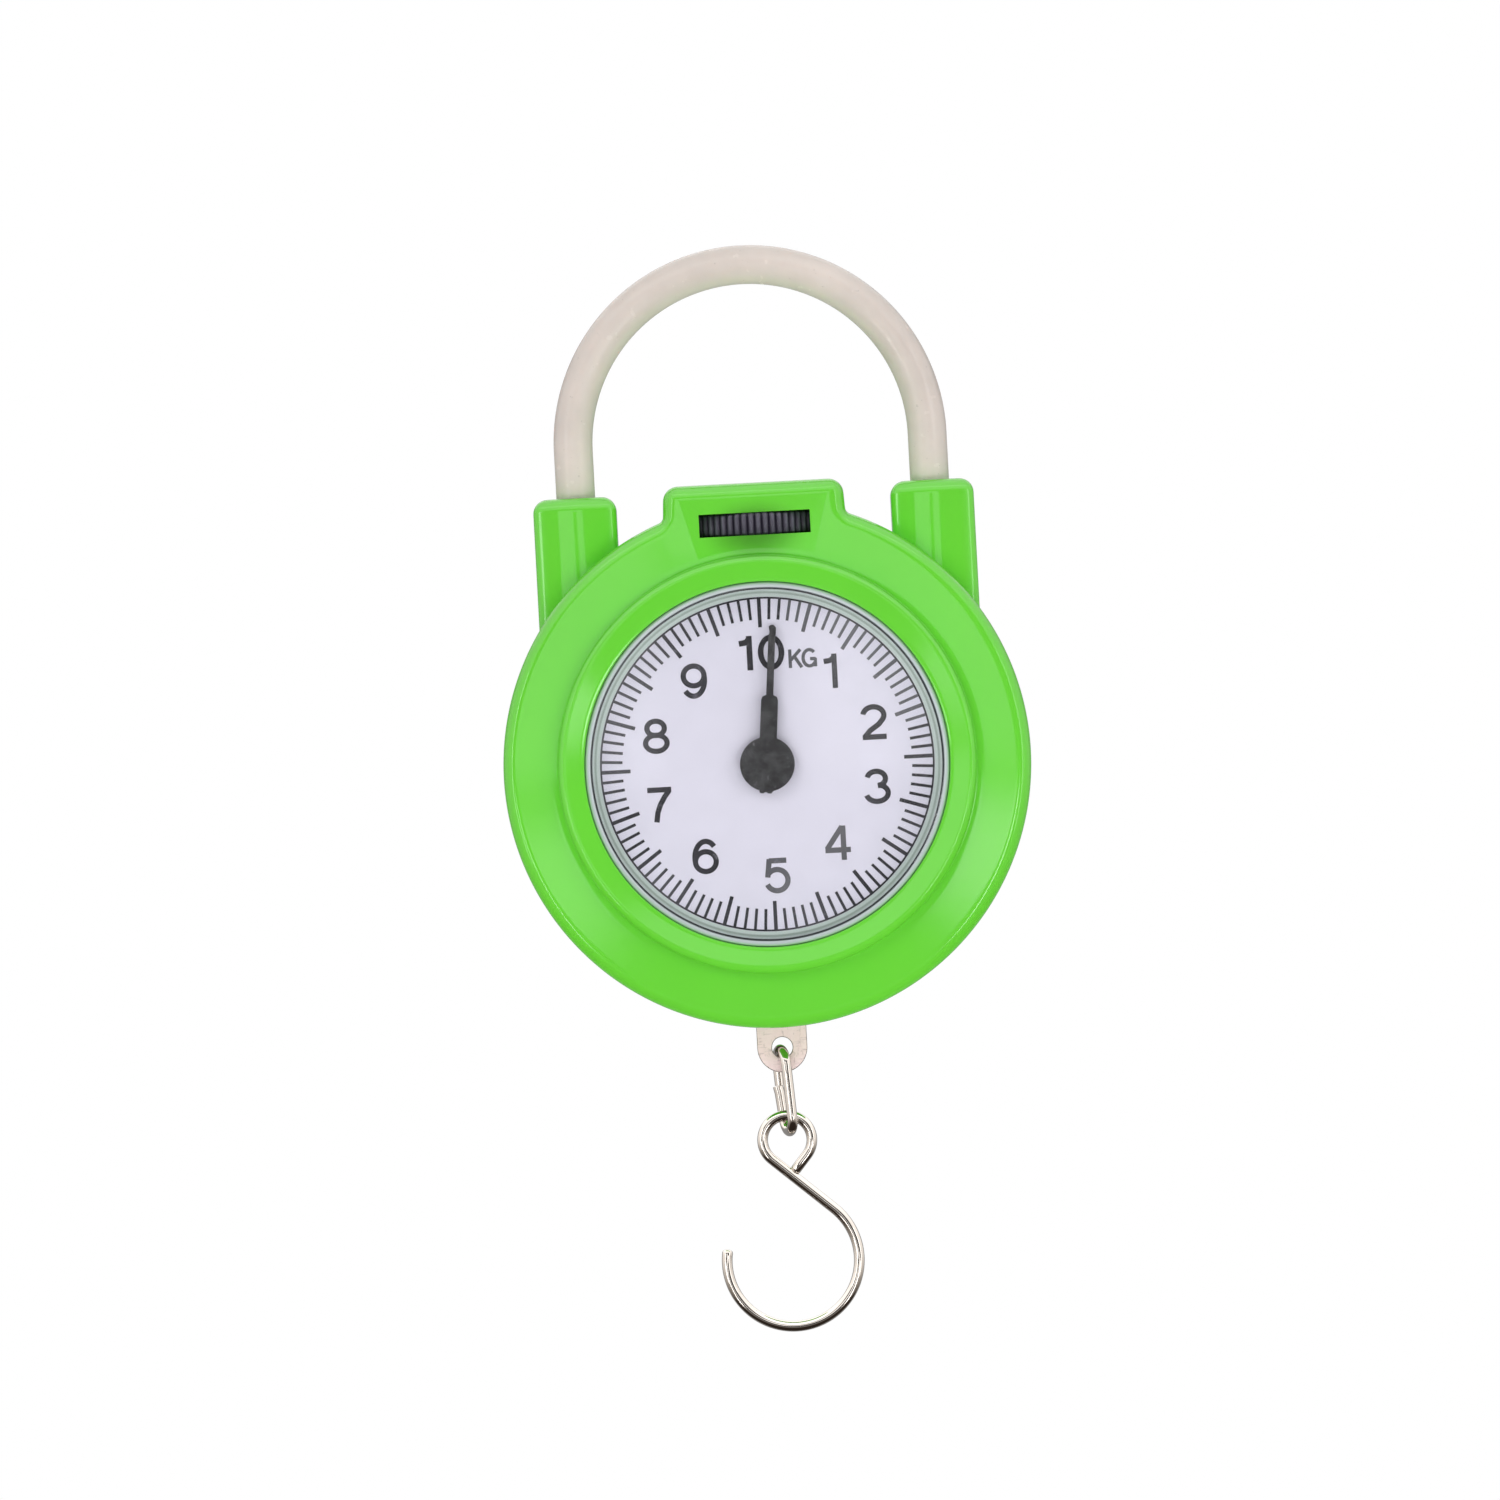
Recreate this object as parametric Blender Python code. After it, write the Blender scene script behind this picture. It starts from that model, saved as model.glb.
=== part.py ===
"""Hanging spring scale with a round dial, a shackle handle, a zero wheel, a link and an S-hook.

Frame: +Z up, the dial faces -Y, +X to the right as seen from the front. The origin is the hang
point, the underside of the handle's crown, in the handle's own plane. Every shape is drawn in the
dial frame, whose origin is the dial's centre, and hangs on an empty placed there.
"""

import math

import bmesh
import bpy
from mathutils import Matrix, Vector

MM = 0.001
GAP = 0.3 * MM  # what neighbouring pieces keep between them
HALF_GAP = GAP / 2
HAIR = 0.02 * MM  # keeps two faces that are joined out of one plane
SIDES = (-1, 1)  # left and right, or front and rear

# Handle: a bent round rod
ROD_R = 2.725 * MM
HANDLE_BEND_R = 24.8 * MM  # centreline of the half circle, and of each leg from the middle
HANDLE_BEND_Z = 45.2 * MM
HANDLE_END_Z = 24.0 * MM
ROD_HOLE_R = 1.5 * MM
DIAL_Z = -(HANDLE_BEND_Z + HANDLE_BEND_R - ROD_R)  # dial centre under the hang point

# Housing
BODY_R = 36.8 * MM
WALL = 2.0 * MM
CAVITY_R = BODY_R - WALL
FRONT_EDGE_R = 1.9 * MM
ANNULUS_OUT_Y = -10.2 * MM
ANNULUS_IN_Y = -10.5 * MM
ANNULUS_BACK_Y = -8.6 * MM
BEZEL_R = 29.1 * MM
BEZEL_EDGE_R = 0.9 * MM
BEZEL_Y = -12.5 * MM
WINDOW_R = 25.45 * MM
LENS_POCKET_R = 27.3 * MM
LENS_POCKET_Y = -11.2 * MM
WINDOW_EDGE = 0.5 * MM  # chamfer round the window
FRONT_INNER_EDGE = 1.2 * MM  # chamfers inside the cavity
REAR_INNER_EDGE = 1.6 * MM
REAR_Y = 12.6 * MM
REAR_IN_Y = 11.1 * MM
REAR_EDGE_R = 3.0 * MM

# Rounded blocks on top of the body: the zero wheel's housing and two sockets for the handle
TOP_CORNER_R = 2.0 * MM
LEAST_CORNER_R = 0.4 * MM
TAB_HALF = 12.5 * MM
TAB_TOP_Z = 39.3 * MM
TAB_FLOOR_Z = 30.4 * MM
TAB_FRONT_Y = -10.0 * MM
TAB_REAR_Y = 12.3 * MM
TAB_EDGE_R = 1.2 * MM
TAB_FLARE = 0.7 * MM  # each side is this much wider at the foot
SLOT_HALF = 7.75 * MM
SLOT_LOW_Z = 31.95 * MM
SLOT_TOP_Z = 35.15 * MM
SLOT_BACK_Y = -2.0 * MM

SOCKET_HALF = 5.8 * MM
SOCKET_X = 25.0 * MM
SOCKET_TOP_Z = 38.5 * MM
SOCKET_LOW_Z = 19.5 * MM
SOCKET_Y = 6.0 * MM
SOCKET_EDGE_R = 1.6 * MM
HANDLE_SCREW_Z = 33.0 * MM
HANDLE_SCREW_SEAT_Y = 4.2 * MM
HANDLE_SCREW_TIP_Y = -4.6 * MM
HANDLE_PILOT_Y = -5.0 * MM

# Screws
SCREW_R = 1.2 * MM
SCREW_HOLE_R = 1.5 * MM
SCREW_HEAD_R = 2.0 * MM
SCREW_HEAD_H = 1.2 * MM
SCREW_RECESS_H = 0.5 * MM
SCREW_HEAD_EDGE = 0.4 * MM
COUNTERBORE_R = 2.4 * MM
CASE_SCREW_X = 20.2 * MM
CASE_SCREW_Z = -24.0 * MM
FRONT_POST_R = 2.7 * MM
REAR_POST_R = 3.4 * MM
CASE_SCREW_SEAT_Y = 7.0 * MM
CASE_SCREW_TIP_Y = -6.5 * MM
CASE_PILOT_Y = -7.0 * MM
BRIDGE_SCREW_X = 31.7 * MM
BRIDGE_POST_R = 2.0 * MM
BRIDGE_SCREW_R = 0.8 * MM
BRIDGE_SCREW_HOLE_R = 1.1 * MM
BRIDGE_SCREW_HEAD_R = 1.7 * MM
BRIDGE_SCREW_TIP_Y = -9.2 * MM
BRIDGE_PILOT_Y = -9.6 * MM

# Lens, dial and bridge
LENS_FRONT_Y = -12.1 * MM
LENS_BACK_Y = -10.7 * MM
LENS_PLATEAU_R = 24.5 * MM
LENS_SHOULDER = 0.6 * MM  # depth of the slope round the plateau
DIAL_FRONT_Y = -8.3 * MM
DIAL_BACK_Y = -7.3 * MM
DIAL_R = 28.6 * MM
DIAL_HOLE_R = 2.0 * MM
BRIDGE_FRONT_Y = -7.0 * MM
BRIDGE_BACK_Y = -6.2 * MM
BRIDGE_HALF_X = 33.5 * MM
BRIDGE_HALF_Z = 5.0 * MM
BRIDGE_END_R = 2.5 * MM

# Rack and pinion: one turn of the pointer for the full load
MODULE = 0.5 * MM
PINION_TEETH = 12
PITCH_R = MODULE * PINION_TEETH / 2
TOOTH_PITCH = math.pi * MODULE
PRESSURE_ANGLE = math.radians(20)
BACKLASH = 0.1 * MM  # taken off the thickness of each tooth
PINION_TIP_R = PITCH_R + MODULE
PINION_ROOT_R = 2.4 * MM
PINION_HALF_Y = 1.5 * MM
RACK_ADDENDUM = 0.35 * MM
RACK_DEDENDUM = 0.75 * MM
RACK_FIRST, RACK_LAST = -1, 14  # tooth numbers, tooth 0 is level with the pinion at rest
ARBOR_R = 0.6 * MM
STAFF_BORE_R = 0.85 * MM
STAFF_R = 1.35 * MM
SHOULDER_R = 2.2 * MM
STAFF_REAR_R = 1.75 * MM
STAFF_FRONT_Y = -9.0 * MM
STAFF_REAR_Y = 2.4 * MM
ARBOR_FRONT_Y = -8.8 * MM
ARBOR_REAR_Y = 9.2 * MM
ARBOR_BOSS_R = 3.2 * MM
ARBOR_BOSS_Y = 2.9 * MM

# Pointer
POINTER_ANGLE = math.radians(5)  # rests this far clockwise of the zero mark
POINTER_FRONT_Y = -9.9 * MM
POINTER_BACK_Y = -9.3 * MM
POINTER_HUB_R = 3.85 * MM
POINTER_ARM_HALF = 1.12 * MM
POINTER_ARM_TOP = 9.7 * MM
NEEDLE_HALF = 0.42 * MM
NEEDLE_TIP = 19.3 * MM
POINTER_BOSS_R = 2.4 * MM
POINTER_BOSS_Y = -8.7 * MM
POINTER_BOSS_H = 0.2 * MM  # how far the boss stands into the plate

# Draw plate: rack frame, spring lugs and the tab with the link's hole
PLATE_HALF_Y = 0.6 * MM
PLATE_FRAME_HALF = 7.0 * MM
PLATE_FRAME_TOP = 26.5 * MM
PLATE_FRAME_LOW = -8.6 * MM
PLATE_SHOULDER_Z = -12.6 * MM
WINDOW_LEFT_X = -4.6 * MM
WINDOW_TOP_Z = 24.5 * MM
WINDOW_LOW_Z = -5.0 * MM
STRIP_HALF = 3.5 * MM
LINK_HOLE_Z = -39.7 * MM
LINK_HOLE_R = 1.45 * MM
LUG_X = 12.5 * MM
LUG_R = 2.3 * MM
LUG_HOLE_R = 0.95 * MM
LUG_ARM_HALF = 1.3 * MM
LUG_ARM_FOOT_X = 6.0 * MM
LOWER_LUG_Z = -6.0 * MM

# Spring hanger: crossbar with two lugs, and a threaded stem in the zero wheel
UPPER_LUG_Z = 27.2 * MM
BAR_LOW_Z = 27.2 * MM
BAR_TOP_Z = 29.4 * MM
HANGER_HALF_Y = 0.75 * MM
STEM_R = 1.9 * MM
STEM_FOOT_Z = 27.7 * MM
STEM_TOP_Z = 36.9 * MM
STEM_HOLE_R = 2.3 * MM
STEM_HOLE_TOP_Z = 37.9 * MM

# Zero wheel
WHEEL_R = 10.8 * MM
WHEEL_POCKET_R = 11.1 * MM
WHEEL_RIBS = 66
WHEEL_RIB_H = 0.35 * MM
WHEEL_BORE_R = 2.2 * MM

# Springs: 17 turns of 1.15 mm wire on a mean diameter of 7.3 mm give 2.6 N/mm each
SPRING_WIRE_R = 0.575 * MM
SPRING_R = 3.65 * MM
SPRING_TURNS = 17
SPRING_LOOP_R = 2.2 * MM
SPRING_LEAD = 0.9 * MM  # height over which the wire runs from a loop out to the coil

# Link: a bent wire oval whose two ends nearly meet on its rear limb
LINK_WIRE_R = 0.7 * MM
LINK_BOW_R = 2.1 * MM
LINK_TOP = Vector((-0.3, 0.0, -40.0)) * MM
LINK_BOTTOM = Vector((0.15, 0.0, -50.95)) * MM
LINK_TURN = math.radians(14)
LINK_SEAM_Z = 5.2 * MM  # above the middle of the lower bow

# S-hook
HOOK_WIRE_R = 0.72 * MM
EYE_CENTRE = Vector((0.0, 0.0, -52.7)) * MM
EYE_R = 3.45 * MM
BOWL_CENTRE = Vector((-0.05, 0.0, -69.55)) * MM
BOWL_R = 9.25 * MM
EYE_END_ANGLE = math.radians(-40)
EYE_END_RUN = 2.45 * MM
BOWL_TIP_ANGLE = math.radians(-189.6)

# Steps round a circle
ROUND = 56
ROUND_MID = 32
ROUND_SMALL = 14
ROUND_SCREW = 12


def clear_scene():
    for obj in list(bpy.data.objects):
        bpy.data.objects.remove(obj)


def material(name, colour, roughness, metallic=0.0):
    mat = bpy.data.materials.new(name)
    mat.use_nodes = True
    shader = mat.node_tree.nodes["Principled BSDF"]
    shader.inputs["Base Color"].default_value = (*colour, 1.0)
    shader.inputs["Roughness"].default_value = roughness
    shader.inputs["Metallic"].default_value = metallic
    mat.diffuse_color = (*colour, 1.0)
    return mat


def empty(name, location, parent=None):
    obj = bpy.data.objects.new(name, None)
    obj.location = location
    obj.parent = parent
    bpy.context.collection.objects.link(obj)
    return obj


def finished(bm, name):
    """The bmesh as a mesh with its faces pointing out and its round faces shaded smooth."""
    bmesh.ops.recalc_face_normals(bm, faces=bm.faces)
    mesh = bpy.data.meshes.new(name)
    bm.to_mesh(mesh)
    bm.free()
    mesh.shade_smooth()
    mesh.set_sharp_from_angle(angle=math.radians(35))
    return mesh


def part(name, mesh, mat, parent, origin=(0, 0, 0)):
    """One named sub-part, whose object origin is at `origin` in the dial frame."""
    mesh.transform(Matrix.Translation(-Vector(origin)))
    mesh.name = name
    mesh.materials.append(mat)
    obj = bpy.data.objects.new(name, mesh)
    obj.parent = parent
    obj.location = origin
    bpy.context.collection.objects.link(obj)
    return obj


def tool(obj, name, mesh, operation):
    """Adds a shape to a sub-part, or cuts it out, with a Boolean modifier."""
    cutter = bpy.data.objects.new(f"{obj.name}_{name}", mesh)
    cutter.parent = obj.parent
    cutter.hide_render = True
    cutter.display_type = "WIRE"
    bpy.context.collection.objects.link(cutter)
    modifier = obj.modifiers.new(name, "BOOLEAN")
    modifier.object = cutter
    modifier.operation = operation
    modifier.solver = "EXACT"


def add(obj, name, mesh):
    tool(obj, name, mesh, "UNION")


def cut(obj, name, mesh):
    tool(obj, name, mesh, "DIFFERENCE")


def turned(profile, steps):
    """A closed profile of (radius, y) turned about Y. Points at radius 0 become poles."""
    bm = bmesh.new()
    rings = []
    for radius, y in profile:
        if radius == 0:
            rings.append([bm.verts.new((0, y, 0))])
            continue
        angles = [2 * math.pi * i / steps for i in range(steps)]
        rings.append([bm.verts.new((radius * math.sin(a), y, radius * math.cos(a))) for a in angles])
    for here, there in zip(rings, rings[1:] + rings[:1]):
        if len(here) == 1 and len(there) == 1:
            continue
        for i in range(steps):
            j = (i + 1) % steps
            corners = [here[i % len(here)], here[j % len(here)]]
            corners += [there[j % len(there)], there[i % len(there)]]
            bm.faces.new(dict.fromkeys(corners))
    return finished(bm, "turned")


def loft(layers):
    """Closed solid through layers of corners, all with the same count, capped at both ends."""
    bm = bmesh.new()
    rings = [[bm.verts.new(point) for point in layer] for layer in layers]
    count = len(rings[0])
    for low, high in zip(rings, rings[1:]):
        for i in range(count):
            j = (i + 1) % count
            bm.faces.new((low[i], low[j], high[j], high[i]))
    bm.faces.new(rings[0])
    bm.faces.new(rings[-1])
    return finished(bm, "loft")


def prism(outline, y_a, y_b):
    """An outline of (x, z) corners carried from y_a to y_b."""
    return loft([[(x, y, z) for x, z in outline] for y in (y_a, y_b)])


def box(low, high):
    outline = [(low[0], low[2]), (high[0], low[2]), (high[0], high[2]), (low[0], high[2])]
    return prism(outline, low[1], high[1])


def rod(start, end, radius, steps=ROUND_SMALL):
    """A cylinder between two points."""
    start, end = Vector(start), Vector(end)
    turn = (end - start).to_track_quat("Z", "Y").to_matrix()
    angles = [2 * math.pi * i / steps for i in range(steps)]
    ring = [turn @ Vector((radius * math.cos(a), radius * math.sin(a), 0)) for a in angles]
    return loft([[point + offset for offset in ring] for point in (start, end)])


def along_y(x, z, y_a, y_b, radius, steps=ROUND_SMALL):
    return rod((x, y_a, z), (x, y_b, z), radius, steps)


def pair_along_y(x, z, y_a, y_b, radius, steps=ROUND_SMALL):
    """A left and a right cylinder along Y."""
    return [along_y(side * x, z, y_a, y_b, radius, steps) for side in SIDES]


def combined(meshes):
    """Several shapes that don't meet, as one mesh."""
    bm = bmesh.new()
    for mesh in meshes:
        bm.from_mesh(mesh)
    return finished(bm, "combined")


def arc(centre, radius, start, end, steps):
    """(x, z) points on an arc. Angles are in radians, 0 along +X and growing towards +Z."""
    angles = [start + (end - start) * i / steps for i in range(steps + 1)]
    return [(centre[0] + radius * math.cos(a), centre[1] + radius * math.sin(a)) for a in angles]


def swept(path, radius, sides):
    """A round wire along a smooth path of points, with flat ends."""
    path = [Vector(point) for point in path]
    ahead = [b - a for a, b in zip(path, path[1:])]
    tangents = [ahead[0]] + [a + b for a, b in zip(ahead, ahead[1:])] + [ahead[-1]]
    across = tangents[0].orthogonal().normalized()
    layers = []
    for point, tangent in zip(path, tangents):
        direction = tangent.normalized()
        across = (across - direction * across.dot(direction)).normalized()
        other = direction.cross(across)
        angles = [2 * math.pi * i / sides for i in range(sides)]
        layers.append([point + (across * math.cos(a) + other * math.sin(a)) * radius for a in angles])
    return loft(layers)


def rounded_block(half_x, centre_x, low_z, top_z, y_open, y_face, edge_r, foot_flare=0.0):
    """Half of a split block: square at its foot and parting face, rounded at its top and outer face."""
    sign = 1 if y_face > y_open else -1

    def outline(inset):
        half, top, radius = half_x - inset, top_z - inset, max(TOP_CORNER_R - inset, LEAST_CORNER_R)
        right = arc((half - radius, top - radius), radius, 0, math.pi / 2, 4)
        left = arc((-half + radius, top - radius), radius, math.pi / 2, math.pi, 4)
        foot = half + foot_flare
        corners = [(-foot, low_z), (foot, low_z)] + right + left
        return [(centre_x + x, z) for x, z in corners]

    layers = [[(x, y_open, z) for x, z in outline(0)]]
    for i in range(4):
        angle = math.pi / 2 * i / 3
        inset = edge_r * (1 - math.cos(angle))
        y = y_face - sign * edge_r * (1 - math.sin(angle))
        layers.append([(x, y, z) for x, z in outline(inset)])
    return loft(layers)


def front_body_profile():
    edge = arc((BODY_R - FRONT_EDGE_R, ANNULUS_OUT_Y + FRONT_EDGE_R), FRONT_EDGE_R, 0, -math.pi / 2, 5)
    lip = arc((BEZEL_R - BEZEL_EDGE_R, BEZEL_Y + BEZEL_EDGE_R), BEZEL_EDGE_R, 0, -math.pi / 2, 3)
    return [
        (BODY_R, -HALF_GAP),
        *edge,
        (BEZEL_R, ANNULUS_IN_Y),
        *lip,
        (WINDOW_R + WINDOW_EDGE, BEZEL_Y),
        (WINDOW_R, BEZEL_Y + WINDOW_EDGE),
        (WINDOW_R, LENS_POCKET_Y),
        (LENS_POCKET_R, LENS_POCKET_Y),
        (LENS_POCKET_R, ANNULUS_BACK_Y),
        (CAVITY_R - FRONT_INNER_EDGE, ANNULUS_BACK_Y),
        (CAVITY_R, ANNULUS_BACK_Y + FRONT_INNER_EDGE),
        (CAVITY_R, -HALF_GAP),
    ]


def rear_body_profile():
    edge = arc((BODY_R - REAR_EDGE_R, REAR_Y - REAR_EDGE_R), REAR_EDGE_R, math.pi / 2, 0, 6)
    return [
        (0, REAR_Y),
        *edge,
        (BODY_R, HALF_GAP),
        (CAVITY_R, HALF_GAP),
        (CAVITY_R, REAR_IN_Y - REAR_INNER_EDGE),
        (CAVITY_R - REAR_INNER_EDGE, REAR_IN_Y),
        (0, REAR_IN_Y),
    ]


def add_top_blocks(shell, side, tab_face_y):
    """The zero wheel's housing and both handle sockets on one shell. side is -1 front, 1 rear."""
    y_open = side * HALF_GAP
    tab = rounded_block(TAB_HALF, 0, TAB_FLOOR_Z, TAB_TOP_Z, y_open, tab_face_y, TAB_EDGE_R, TAB_FLARE)
    add(shell, "tab", tab)
    sockets = []
    for x in SIDES:
        heights = (SOCKET_LOW_Z, SOCKET_TOP_Z)
        depths = (y_open, side * SOCKET_Y)
        sockets.append(rounded_block(SOCKET_HALF, x * SOCKET_X, *heights, *depths, SOCKET_EDGE_R))
    add(shell, "sockets", combined(sockets))


def cut_shared_holes(shell):
    """The hollows that both shells share across the parting plane."""
    wheel_pocket = rod((0, 0, SLOT_LOW_Z), (0, 0, SLOT_TOP_Z), WHEEL_POCKET_R, ROUND_MID)
    cut(shell, "wheel_pocket", wheel_pocket)
    stem_hole = rod((0, 0, TAB_FLOOR_Z - MM), (0, 0, STEM_HOLE_TOP_Z), STEM_HOLE_R)
    cut(shell, "stem_hole", stem_hole)
    bores = []
    for side in SIDES:
        x = side * HANDLE_BEND_R
        bores.append(rod((x, 0, HANDLE_END_Z - GAP), (x, 0, SOCKET_TOP_Z + MM), ROD_R + GAP))
    cut(shell, "handle_bores", combined(bores))
    half_x, half_y = STRIP_HALF + GAP, PLATE_HALF_Y + GAP
    cut(shell, "plate_slot", box((-half_x, -half_y, -BODY_R - MM), (half_x, half_y, -CAVITY_R + MM)))


def front_shell(mat, dial):
    shell = part("front_shell", turned(front_body_profile(), ROUND), mat, dial)
    add_top_blocks(shell, -1, TAB_FRONT_Y)
    foot_y = ANNULUS_BACK_Y - MM
    posts = pair_along_y(CASE_SCREW_X, CASE_SCREW_Z, foot_y, -GAP, FRONT_POST_R)
    posts += pair_along_y(BRIDGE_SCREW_X, 0, foot_y, BRIDGE_FRONT_Y - GAP, BRIDGE_POST_R)
    add(shell, "posts", combined(posts))
    cut_shared_holes(shell)
    cut(shell, "wheel_slot", box((-SLOT_HALF, BEZEL_Y, SLOT_LOW_Z), (SLOT_HALF, SLOT_BACK_Y, SLOT_TOP_Z)))
    pilots = pair_along_y(CASE_SCREW_X, CASE_SCREW_Z, CASE_PILOT_Y, MM, SCREW_HOLE_R)
    pilots += pair_along_y(BRIDGE_SCREW_X, 0, BRIDGE_PILOT_Y, BRIDGE_BACK_Y, BRIDGE_SCREW_HOLE_R)
    pilots += pair_along_y(HANDLE_BEND_R, HANDLE_SCREW_Z, HANDLE_PILOT_Y, 0, SCREW_HOLE_R)
    cut(shell, "pilot_holes", combined(pilots))


def rear_cover(mat, dial):
    cover = part("rear_cover", turned(rear_body_profile(), ROUND), mat, dial)
    add_top_blocks(cover, 1, TAB_REAR_Y)
    posts = pair_along_y(CASE_SCREW_X, CASE_SCREW_Z, GAP, REAR_IN_Y + MM, REAR_POST_R)
    posts.append(along_y(0, 0, ARBOR_BOSS_Y, REAR_IN_Y + MM, ARBOR_BOSS_R))
    add(cover, "posts", combined(posts))
    cut_shared_holes(cover)
    holes = pair_along_y(CASE_SCREW_X, CASE_SCREW_Z, -MM, REAR_Y + MM, SCREW_HOLE_R)
    holes += pair_along_y(HANDLE_BEND_R, HANDLE_SCREW_Z, 0, SOCKET_Y + MM, SCREW_HOLE_R)
    holes.append(along_y(0, 0, MM, ARBOR_REAR_Y + GAP, ARBOR_R + GAP))
    cut(cover, "screw_holes", combined(holes))
    seats = pair_along_y(CASE_SCREW_X, CASE_SCREW_Z, CASE_SCREW_SEAT_Y, REAR_Y + MM, COUNTERBORE_R)
    seats += pair_along_y(HANDLE_BEND_R, HANDLE_SCREW_Z, HANDLE_SCREW_SEAT_Y, SOCKET_Y + MM, COUNTERBORE_R)
    cut(cover, "screw_seats", combined(seats))


def screw(name, x, z, tip_y, seat_y, shank_r, head_r, mat, dial):
    """A pan-head screw along Y, its head towards +Y."""
    head_y = seat_y + SCREW_HEAD_H
    profile = [
        (0, head_y - SCREW_RECESS_H),
        (0.4 * head_r, head_y - SCREW_RECESS_H),
        (0.4 * head_r, head_y),
        (0.7 * head_r, head_y),
        (head_r, head_y - SCREW_HEAD_EDGE),
        (head_r, seat_y),
        (shank_r, seat_y),
        (shank_r, tip_y + MM),
        (0, tip_y),
    ]
    mesh = turned(profile, ROUND_SCREW)
    mesh.transform(Matrix.Translation((x, 0, z)))
    part(name, mesh, mat, dial, (x, 0, z))


def lens(mat, dial):
    flange_r = LENS_POCKET_R - GAP
    barrel_r = WINDOW_R - GAP
    skirt_r = LENS_PLATEAU_R + 0.2 * MM
    flange_y = LENS_POCKET_Y + GAP
    skirt_y = DIAL_FRONT_Y - GAP
    profile = [
        (0, LENS_FRONT_Y),
        (LENS_PLATEAU_R, LENS_FRONT_Y),
        (barrel_r, LENS_FRONT_Y + LENS_SHOULDER),
        (barrel_r, flange_y),
        (flange_r, flange_y),
        (flange_r, skirt_y),
        (skirt_r, skirt_y),
        (skirt_r, LENS_BACK_Y),
        (0, LENS_BACK_Y),
    ]
    part("window_lens", turned(profile, ROUND), mat, dial)


def dial_plate(mat, dial):
    profile = [
        (DIAL_R, DIAL_FRONT_Y),
        (DIAL_HOLE_R, DIAL_FRONT_Y),
        (DIAL_HOLE_R, DIAL_BACK_Y),
        (DIAL_R, DIAL_BACK_Y),
    ]
    part("dial_plate", turned(profile, ROUND), mat, dial)


def movement_bridge(mat, dial):
    """A steel strip behind the dial that steadies the pointer's staff."""
    in_x, in_z = BRIDGE_HALF_X - BRIDGE_END_R, BRIDGE_HALF_Z - BRIDGE_END_R
    corners = [(in_x, in_z), (-in_x, in_z), (-in_x, -in_z), (in_x, -in_z)]
    outline = []
    for i, corner in enumerate(corners):
        outline += arc(corner, BRIDGE_END_R, math.pi / 2 * i, math.pi / 2 * (i + 1), 4)
    bridge = part("movement_bridge", prism(outline, BRIDGE_FRONT_Y, BRIDGE_BACK_Y), mat, dial)
    y_a, y_b = BRIDGE_FRONT_Y - MM, BRIDGE_BACK_Y + MM
    holes = pair_along_y(BRIDGE_SCREW_X, 0, y_a, y_b, BRIDGE_SCREW_HOLE_R)
    holes.append(along_y(0, 0, y_a, y_b, STAFF_R + GAP))
    cut(bridge, "holes", combined(holes))


def handle(mat, dial):
    bend = arc((0, HANDLE_BEND_Z), HANDLE_BEND_R, 0, math.pi, 28)
    legs_z = (HANDLE_END_Z, HANDLE_END_Z + 0.5 * (HANDLE_BEND_Z - HANDLE_END_Z))
    right = [(HANDLE_BEND_R, z) for z in legs_z]
    left = [(-HANDLE_BEND_R, z) for z in reversed(legs_z)]
    path = [(x, 0, z) for x, z in right + bend + left]
    rod_part = part("handle", swept(path, ROD_R, ROUND_SMALL), mat, dial)
    holes = pair_along_y(HANDLE_BEND_R, HANDLE_SCREW_Z, -5 * MM, 5 * MM, ROD_HOLE_R, ROUND_SCREW)
    cut(rod_part, "screw_holes", combined(holes))


def zero_wheel(mat, dial):
    """A knurled nut on a vertical axis, with straight ribs."""
    outline = []
    step = 2 * math.pi / WHEEL_RIBS
    for i in range(WHEEL_RIBS):
        for share, radius in ((0.0, WHEEL_R), (0.5, WHEEL_R - WHEEL_RIB_H)):
            angle = step * (i + share)
            outline.append((radius * math.cos(angle), radius * math.sin(angle)))
    levels = (SLOT_LOW_Z + GAP, SLOT_TOP_Z - GAP)
    mesh = loft([[(x, y, z) for x, y in outline] for z in levels])
    centre = (0, 0, sum(levels) / 2)
    wheel = part("zero_wheel", mesh, mat, dial, centre)
    cut(wheel, "bore", rod((0, 0, levels[0] - MM), (0, 0, levels[1] + MM), WHEEL_BORE_R))


def spring_hanger(mat, dial):
    bar = prism(
        [(-LUG_X, BAR_LOW_Z), (LUG_X, BAR_LOW_Z), (LUG_X, BAR_TOP_Z), (-LUG_X, BAR_TOP_Z)],
        -HANGER_HALF_Y,
        HANGER_HALF_Y,
    )
    hanger = part("spring_hanger", bar, mat, dial)
    half = HANGER_HALF_Y + HAIR
    add(hanger, "lugs", combined(pair_along_y(LUG_X, UPPER_LUG_Z, -half, half, LUG_R)))
    add(hanger, "stem", rod((0, 0, STEM_FOOT_Z), (0, 0, STEM_TOP_Z), STEM_R))
    holes = pair_along_y(LUG_X, UPPER_LUG_Z, -2 * MM, 2 * MM, LUG_HOLE_R, ROUND_SCREW)
    cut(hanger, "lug_holes", combined(holes))


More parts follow.
